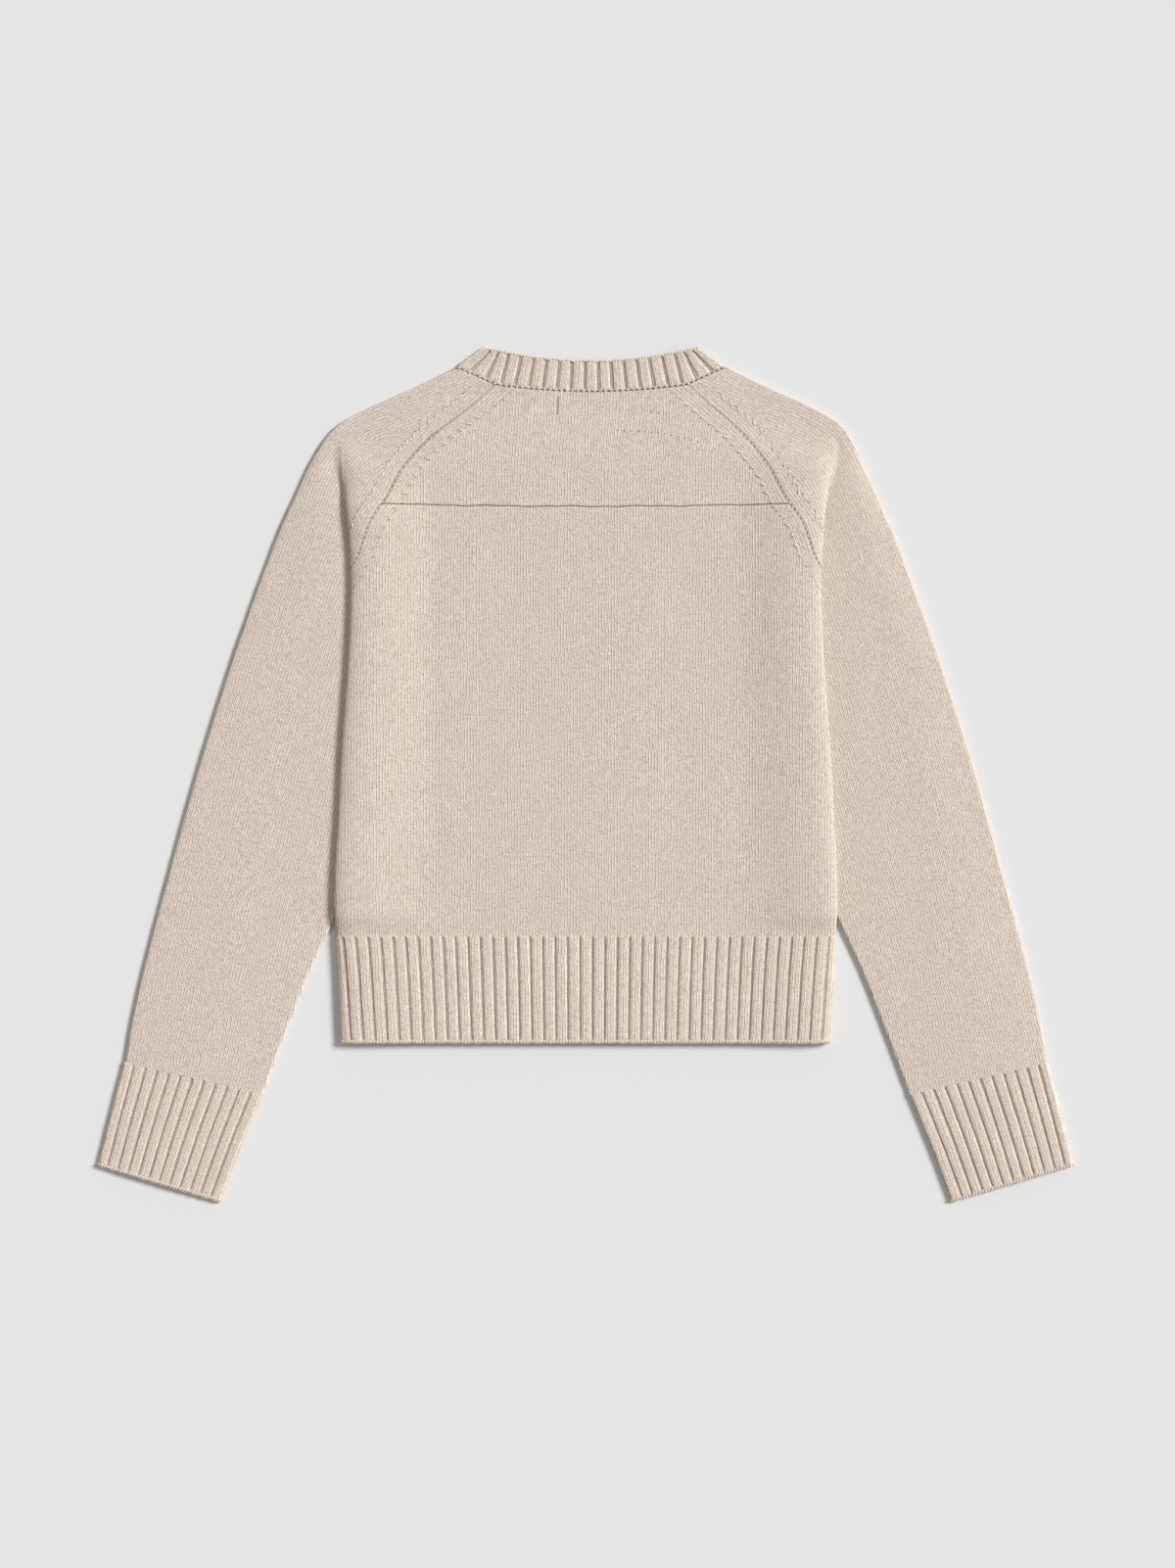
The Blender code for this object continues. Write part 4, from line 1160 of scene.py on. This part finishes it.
# Hem: a deep band of two-by-two rib round the body, in one piece across the back and one on each
# front. It pulls in a little, and its pairs of knit wales stand proud of the purl between them.

rib_knit = knit_material(
    "oatmeal rib knitting",
    light=(0.93, 0.81, 0.705),
    dark=(0.55, 0.43, 0.33),
    shade=(0.22, 0.16, 0.115),
    wale=0.0024,
    course=0.0021,
    stitch_depth=0.0006,
)
HEM_PITCH = 9.55
HEM_VALLEY = 0.21
RIB_RAISE = 0.7
RIB_SINK = 0.6
RIB_SHADE = 0.6
RIB_STEP = 0.5
RIB_ROUND = 0.3
CHAIN = 2.9


def rib_profile(across, pitch, valley):
    """Share of full height over one repeat: two knit wales proud, and between them two purl wales
    that have sunk into a valley, which takes up the given share of the pitch."""
    place = np.abs((across / pitch) % 1.0 - 0.5) * 2.0
    proud = ease((1.0 - valley + 0.08 - place) / 0.16)
    parted = 0.14 * np.exp(-((place / 0.1) ** 2)) - 0.1 * np.exp(-(((place - 1.0) / 0.08) ** 2))
    return proud * (1.0 - RIB_ROUND * (place / (1.0 - valley)) ** 2) - parted


def rib_relief(across, pitch, normals, valley, fade=1.0):
    """Relief of a rib, and hollow, the painted shade down its valleys. A side that lies on the surface only
    has its valleys cut in.
    """
    share = rib_profile(across, pitch, valley)
    core = np.abs((across / pitch) % 1.0 - 0.5) * 2.0 - 1.0
    upward = ease((normals[..., 2] + 0.6) / 0.8)
    relief = (RIB_RAISE * share - RIB_SINK * (1.0 - share)) * upward
    relief = relief - 0.7 * (1.0 - share) * (1.0 - upward)
    # Painted shade down the middle of each valley.
    hollow = RIB_SHADE * np.exp(-((core / (0.62 * valley)) ** 2))
    return relief * fade, hollow * fade


def rib_ends(distance_top, distance_end, chain=CHAIN):
    """How fully the rib is raised: less at the row that joins it and at its cast-off edge."""
    return ease(distance_top / 1.6) * (0.1 + 0.9 * ease((distance_end - chain + 1.2) / 1.2))


def rib_heads(across, pitch, valley, distance_top):
    """Extra relief and painted shade at the rib's first row: round heads on the knit wales, and
    painted shade at a pulled hole above each purl valley."""
    share = rib_profile(across, pitch, valley)
    near = np.exp(-(((distance_top - 1.0) / 0.9) ** 2))
    # The second value is painted shade at the pulled holes.
    return 0.3 * share * near, 0.2 * (1.0 - share) * near


def chain_relief(distance_end):
    """The cast-off chain lies proud along the edge, with a small step down to the ribs."""
    return 0.35 * np.exp(-(((distance_end - 1.3) / 0.9) ** 2))


def cast_off_loops(across, pitch, valley):
    """How far the cast-off edge stands out beyond its line: a small loop at every stitch, uneven,
    and the knit wales a little longer than the purl ones."""
    uneven = 0.6 + 0.4 * np.sin(across / 7.3) * np.sin(across / 3.1 + 1.0)
    loops = 0.42 * uneven * np.sin(across * math.tau / 2.4 + 0.6 * np.sin(across / 5.0))
    return loops + 0.5 * (rib_profile(across, pitch, valley) - 0.5)


HEM_FRONT_COLUMNS = 240
HEM_SIDE_COLUMNS = int(body_section(HEM_TOP_Y).marks[3] / RIB_STEP)
hem_ys = HEM_Y + np.array([0.0, 0.6, 1.2, 1.8, 2.4, 3.1])
hem_ys = np.append(hem_ys, np.linspace(HEM_Y + 5.0, HEM_TOP_Y - 3.6, 14))
hem_ys = np.append(hem_ys, [HEM_TOP_Y - 2.0, HEM_TOP_Y - 0.9, HEM_TOP_Y])
middle, normals, lengths = [], [], []
for y in hem_ys:
    section = body_section(y)
    high = section.marks[3]
    place = np.linspace(0.0, high, HEM_SIDE_COLUMNS)
    point, normal = section.at(place)
    middle.append(crossing(point, y))
    normals.append(crossing(normal, 0.0))
    lengths.append(place / high)
middle, normals, lengths = np.array(middle), np.array(normals), np.array(lengths)
hem_half = body_section(HEM_TOP_Y).marks[3]
middle, normals = both_halves(middle), both_halves(normals)
across = both_ways(lengths) * hem_half
fade = rib_ends(HEM_TOP_Y - middle[..., 1], middle[..., 1] - HEM_Y)
on_rib = across + HEM_PITCH * 0.5
# hollow is painted shade in the rib's valleys and, from the heads, at the pulled holes of the first row.
relief, hollow = rib_relief(on_rib, HEM_PITCH, normals, HEM_VALLEY, fade)
heads = rib_heads(on_rib, HEM_PITCH, HEM_VALLEY, HEM_TOP_Y - middle[..., 1])
relief, hollow = relief + heads[0] + chain_relief(middle[..., 1] - HEM_Y), hollow + heads[1]
loops = cast_off_loops(on_rib, HEM_PITCH, HEM_VALLEY)[0]
middle[0, :, 1] -= loops
middle[1, :, 1] -= loops * 0.5
hem_up = normals[0, :, 2] > 0.6
hem_edge = laid(middle[2], normals[2], WALL / 2 + relief[2], 0.5)[hem_up]
hem_top = laid(middle[-1], normals[-1], WALL / 2 + relief[-1], 0.5)[hem_up]
stitches = np.stack([across, middle[..., 1]], -1)
hem_back = cloth("ribbed_hem_back", middle, normals, stitches, relief, hollow, rib_knit, 0.5)
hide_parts("hem_back")
hem_stitches = [
    sew("hem_cast_off", [hem_edge], "cast_off", seed=13),
    sew("hem_rib_tops", [hem_top], "rib_top", seed=15),
]

for side_name, side, band_level in LAPPED:
    rows = []
    for y in hem_ys:
        xs = np.linspace(BAND_HALF + 0.2, SIDE_SEAM_X - SEAM_HALF, HEM_FRONT_COLUMNS)
        rows.append(crossing(np.stack([xs, front_level(xs, y, band_level)], 1), y))
    middle = np.array(rows)
    normals = outer_normals(middle)
    fade = rib_ends(HEM_TOP_Y - middle[..., 1], middle[..., 1] - HEM_Y)
    # hollow is painted shade in the rib's valleys.
    relief, hollow = rib_relief(middle[..., 0], HEM_PITCH, normals, HEM_VALLEY, fade)
    mirror = np.array([side, 1, 1])
    hem_front = cloth(
        f"ribbed_hem_front_{side_name}", middle * mirror, normals * mirror, middle[..., :2], relief, hollow,
        rib_knit, 0.0,
    )
    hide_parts(f"hem_front_{side_name}")

# Cuffs: the same rib at the end of each sleeve, knitted in the round. It draws in a little towards
# its cast-off edge, and lies flat, both plies.

CUFF_ROWS = [  # inner_x, inner_y, outer_x, outer_y
    (247.6, -245.2, 353.7, -220.8),
    (264.5, -286.0, 364.0, -260.5),
    (280.4, -328.0, 373.8, -300.0),
]
CUFF_PITCH = 9.0
CUFF_ROUND = 212.0
CUFF_COUNTS = (22, 205, 18, 195)
CUFF_PUFF = 1.0
cuff_rows = tube_rows(CUFF_ROWS, 64)
cuff_rows = np.concatenate([cuff_rows[:4], cuff_rows[4:-5:3], cuff_rows[-5:]])
cuff_tubes = [tube_row(row, *CUFF_COUNTS, CUFF_PUFF) for row in cuff_rows]
middle = np.array([t[0] for t in cuff_tubes])
normals = np.array([t[1] for t in cuff_tubes])
shares = np.array([t[2] / t[2][-1] for t in cuff_tubes])
across = shares * CUFF_ROUND
down = np.linalg.norm(middle - middle[:1], axis=-1)
fade = rib_ends(down, down[-1:] - down)
# hollow is painted shade in the rib's valleys and, from the heads, at the pulled holes of the first row.
relief, hollow = rib_relief(across, CUFF_PITCH, normals, HEM_VALLEY, fade)
heads = rib_heads(across, CUFF_PITCH, HEM_VALLEY, down)
relief, hollow = relief + heads[0] + chain_relief(down[-1:] - down), hollow + heads[1]
sleeve_way = (middle[-1] - middle[-4]) / np.linalg.norm(middle[-1] - middle[-4], axis=-1)[:, None]
middle[-1] += sleeve_way * cast_off_loops(across, CUFF_PITCH, HEM_VALLEY)[-1][:, None]
cuff_up = normals[0, :, 2] > 0.6
cuff_edge = laid(middle[-2], normals[-2], WALL / 2 + relief[-2], 0.0)[cuff_up]
cuff_top = laid(middle[0], normals[0], WALL / 2 + relief[0], 0.0)[cuff_up]
for side_name, side in SIDES:
    mirror = np.array([side, 1, 1])
    cuff = cloth(
        f"ribbed_cuff_{side_name}", middle * mirror, normals * mirror, np.stack([across, down], -1), relief,
        hollow, rib_knit, 0.0,
    )
    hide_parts(f"cuff_{side_name}")
    cuff_stitches = [
        sew(f"cuff_{side_name}_cast_off", [cuff_edge * mirror], "cast_off", seed=9),
        sew(f"cuff_{side_name}_rib_tops", [cuff_top * mirror], "rib_top", seed=11),
    ]

# Neckband: a narrow rib knitted on round the whole neck, from one front edge to the other. It turns
# over at each shoulder, where the garment folds.

_, neck_high = np.array(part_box("neckband")) / MM
SHOULDER_X = 102.0
SHOULDER_Y = 313.0
NECK_TOP_X = 81.5
NECK_TOP_Y = neck_high[1] + 0.4
NECKBAND_DIP = 10.8
NECK_PITCH = 10.35
NECK_VALLEY = 0.27
NECK_CHAIN = 2.0
NECKBAND_WIDTH = 26.0
FRONT_LINE_XS = [-BAND_HALF, 0.0, BAND_HALF, 22.0, 28.0, 35.0, 42.0, 48.5, 55.0]
FRONT_LINE_XS += [61.0, 66.0, 71.0, 75.0, 78.5, 81.5]


def neckband_lines():
    """Lines across the band, seam to free edge, for the right side from front to centre back."""
    fold_seam = np.array([SHOULDER_X + 0.3, SHOULDER_Y + 0.3])
    fold_free = np.array([NECK_TOP_X, NECK_TOP_Y - 0.4])
    down = (0.0, 0.0, -1.0)
    lines = []
    for x in FRONT_LINE_XS:
        seam = np.array([x, float(front_neck_y(max(x, 0.0))) + 0.3])
        share = float(ease((x - 15.0) / 68.0))
        free_y = between(FRONT_NECK_Y - FRONT_NECK_DROP + 26.5, 283.0, share * share)
        free_x = between(x, 60.0, share) if x > BAND_HALF else x
        lines.append((seam, np.array([free_x, free_y]), FLOOR_PLY, down))
    lines.append((np.array([85.5, 280.0]), np.array([62.5, 293.0]), FLOOR_PLY, down))
    lines.append((np.array([91.0, 292.0]), np.array([68.0, 306.0]), FLOOR_PLY, down))
    across = (fold_free - fold_seam) / np.linalg.norm(fold_free - fold_seam)
    outward = np.array([across[1], -across[0]])
    for turn in np.linspace(-QUARTER, QUARTER, 9):
        shift = outward * (TUCK_R * math.cos(turn) - TUCK_R - FLOOR_PLY)
        z = FLOOR_PLY + TUCK_R + TUCK_R * math.sin(turn)
        normal = (outward[0] * math.cos(turn), outward[1] * math.cos(turn), math.sin(turn))
        lines.append((fold_seam + shift, fold_free + shift, z, normal))
    for x in np.linspace(BACK_NECK_X, 0.0, 18):
        seam = np.array([x, float(back_neck_y(x)) + 0.3])
        free_x = x * NECK_TOP_X / (BACK_NECK_X + 16.0)
        dip = NECKBAND_DIP * (1.0 - (free_x / NECK_TOP_X) ** 2)
        lines.append((seam, np.array([free_x, NECK_TOP_Y - 0.6 - dip]), TOP_PLY, (0.0, 0.0, 1.0)))
    return lines


band_shares = np.array([0.0, 0.03, 0.07, 0.13, 0.25, 0.4, 0.55, 0.7, 0.84, 0.92, 0.97, 1.0])
halves = []
for _, side, band_level in LAPPED:
    rows = []
    for seam_end, free_end, z, normal in neckband_lines():
        points = between(seam_end, free_end, band_shares[:, None])
        level = np.full(len(points), z)
        if seam_end[1] < FRONT_NECK_Y and z == FLOOR_PLY:
            level = between(band_level, z, ease((points[:, 0] - BAND_HALF) / BAND_RAMP))
        place = np.stack([side * points[:, 0], points[:, 1], level], 1)
        facing = np.tile([side * normal[0], normal[1], normal[2]], (len(points), 1))
        rows.append(np.concatenate([place, facing], 1))
    halves.append(np.array(rows))
lines = np.concatenate([halves[0], halves[1][-2::-1]])
path = lines[:, 5, :3]
run = np.concatenate([[0.0], np.cumsum(np.linalg.norm(np.diff(path, axis=0), axis=1))])
steps = np.unique(np.concatenate([np.arange(0.0, run[-1], RIB_STEP), run]))
places = range(len(band_shares))
grid = np.array([[np.interp(steps, run, lines[:, j, k]) for k in range(6)] for j in places])
grid = grid.transpose(2, 0, 1)
middle, normals = grid[..., :3], grid[..., 3:]
normals = normals / np.linalg.norm(normals, axis=-1)[..., None]
across = np.repeat(steps[:, None], len(band_shares), 1) - run[-1] / 2
width = np.tile(NECKBAND_WIDTH * band_shares, (len(steps), 1))
fade = rib_ends(width, NECKBAND_WIDTH - width, NECK_CHAIN)
on_rib = across + NECK_PITCH * 0.5
# hollow is painted shade in the rib's valleys.
relief, hollow = rib_relief(on_rib, NECK_PITCH, normals, NECK_VALLEY, fade)
relief = relief + chain_relief(NECKBAND_WIDTH - width)
neck_way = middle[:, -1] - middle[:, -4]
neck_way = neck_way / np.linalg.norm(neck_way, axis=-1)[:, None]
neck_loops = cast_off_loops(on_rib, NECK_PITCH, NECK_VALLEY)[:, -1]
middle[:, -1] += neck_way * (neck_loops * (0.35 + 0.65 * normals[:, -1, 2] ** 2))[:, None]
# Painted shade along the pick-up seam as well.
hollow = np.maximum(hollow, 0.2 * seam_edge(width, 0.8))
neck_up = normals[:, 0, 2] > 0.95
neck_free = laid(middle[:, -2], normals[:, -2], WALL / 2 + relief[:, -2], 0.4)[neck_up]
neck_join = laid(middle[:, 0], normals[:, 0], WALL / 2 + relief[:, 0], 0.4)[neck_up]
stitches = np.stack([across, width], -1)
neckband = cloth("ribbed_neckband", middle, normals, stitches, relief, hollow, rib_knit, 0.4)
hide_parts("neckband")
neck_pick = neck_join + (0.0, -0.1, 0.1)
neck_hole = neck_join + (0.0, -0.1, 0.0)
# neckband_pick_up_holes are dark beads of painted shade, for the shade in the holes between the picked-up
# stitches.
neck_stitches = [
    sew("neckband_cast_off", [neck_free], "cast_off", seed=17),
    sew("neckband_picked_up", [neck_pick], "picked_up", seed=19),
    sew(
        "neckband_pick_up_holes", [neck_hole], "picked_hole", seed=21, start=2.1,
        yarn=painted_shade_and_dark_thread,
    ),
]

# Front bands: two straight strips of rib down the front edges, the buttonhole band outermost and so
# underneath here, with the button band lapped over it.

BAND_PITCH = 7.5
BAND_COLUMNS = 34
band_ys = np.linspace(HEM_Y, FRONT_NECK_Y - FRONT_NECK_DROP - 0.3, 120)
for name, node, level in (
    ("ribbed_buttonhole_band", "buttonhole_band", BUTTONHOLE_LEVEL),
    ("ribbed_button_band", "button_band", BUTTON_BAND_LEVEL),
):
    xs = np.linspace(-BAND_HALF, BAND_HALF, BAND_COLUMNS)
    pairs = np.stack([xs, np.full(BAND_COLUMNS, level)], 1)
    middle = np.array([crossing(pairs, y) for y in band_ys])
    normals = np.zeros_like(middle)
    normals[..., 2] = -1.0
    # hollow is painted shade in the rib's valleys.
    relief, hollow = rib_relief(middle[..., 0] + 4.0, BAND_PITCH, normals, HEM_VALLEY)
    band = cloth(name, middle, normals, middle[..., :2], relief * 0.6 - 0.1, hollow, rib_knit, 0.0)
    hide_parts(node)

# Buttons: seven flat resin buttons, sewn to the left front's band and pushed through the right's.
# They lie face down on the surface.

button_shader = Shader("beige resin", 0.32, 0.5)
where = button_shader.node("ShaderNodeTexCoord").outputs["Object"]
cloud = button_shader.noise(where, 180.0, 4.0)
resin_colour = button_shader.mix(cloud, (0.36, 0.27, 0.19), (0.58, 0.48, 0.37))
button_shader.join(resin_colour, button_shader.surface["Base Color"])
BUTTON_FACE = 0.5
HOLE_OUT = 1.3
BUTTONS = 7
button_lines = []
for number in range(1, BUTTONS + 1):
    button = bpy.data.objects[f"button_{number}"]
    for slot in button.material_slots:
        slot.material = button_shader.material
    corners = np.array([corner[:] for corner in button.bound_box]) / MM
    across, up = (corners.max(0) + corners.min(0))[:2] / 2
    for side in (-1, 1):
        row = up + side * HOLE_OUT
        button_lines.append([(across - HOLE_OUT, row, BUTTON_FACE), (across + HOLE_OUT, row, BUTTON_FACE)])
# button_holes are dark beads of painted shade in each button's four holes.
sew("button_holes", button_lines, "button_hole", seed=31, yarn=painted_shade_and_dark_thread)
sew("button_threads", button_lines, "thread", seed=33)

# Setting: a plain pale surface, a soft key lamp from the upper right and an even sky.

FLOOR_COLOUR = (0.783, 0.783, 0.786)
SKY_STRENGTH = 0.36
LAMP_ENERGY = 3.26
LAMP_WIDTH = math.radians(19.0)
LAMP_ELEVATION = math.radians(38.5)
LAMP_BEARING = math.radians(24.0)
CAMERA_PLACE = (0.0011, -0.0075, 2.841)
WHITE = (1.0, 1.0, 1.0, 1.0)
floor_mesh = bpy.data.meshes.new("floor")
floor_mesh.from_pydata([(-4, -4, 0), (4, -4, 0), (4, 4, 0), (-4, 4, 0)], [], [(0, 1, 2, 3)])
floor = placed("floor", floor_mesh)
floor_shader = Shader("pale floor", 1.0, 0.0)
floor_shader.surface["Base Color"].default_value = (*FLOOR_COLOUR, 1.0)
floor_mesh.materials.append(floor_shader.material)

world = bpy.data.worlds.new("studio")
bpy.context.scene.world = world
world.use_nodes = True
sky = world.node_tree.nodes["Background"]
sky.inputs["Color"].default_value = WHITE
sky.inputs["Strength"].default_value = SKY_STRENGTH

lamp_data = bpy.data.lights.new("key", "SUN")
lamp_data.energy = LAMP_ENERGY
lamp_data.angle = LAMP_WIDTH
lamp_data.color = (1.0, 0.995, 0.985)
lamp = placed("key", lamp_data)
lamp.rotation_euler = (0.0, QUARTER - LAMP_ELEVATION, LAMP_BEARING)

camera_data = bpy.data.cameras.new("camera")
camera_data.lens = 85.0
camera_data.sensor_width = 36.0
camera = placed("camera", camera_data)
camera.location = CAMERA_PLACE
bpy.context.scene.camera = camera
bpy.context.scene.view_settings.view_transform = "Standard"
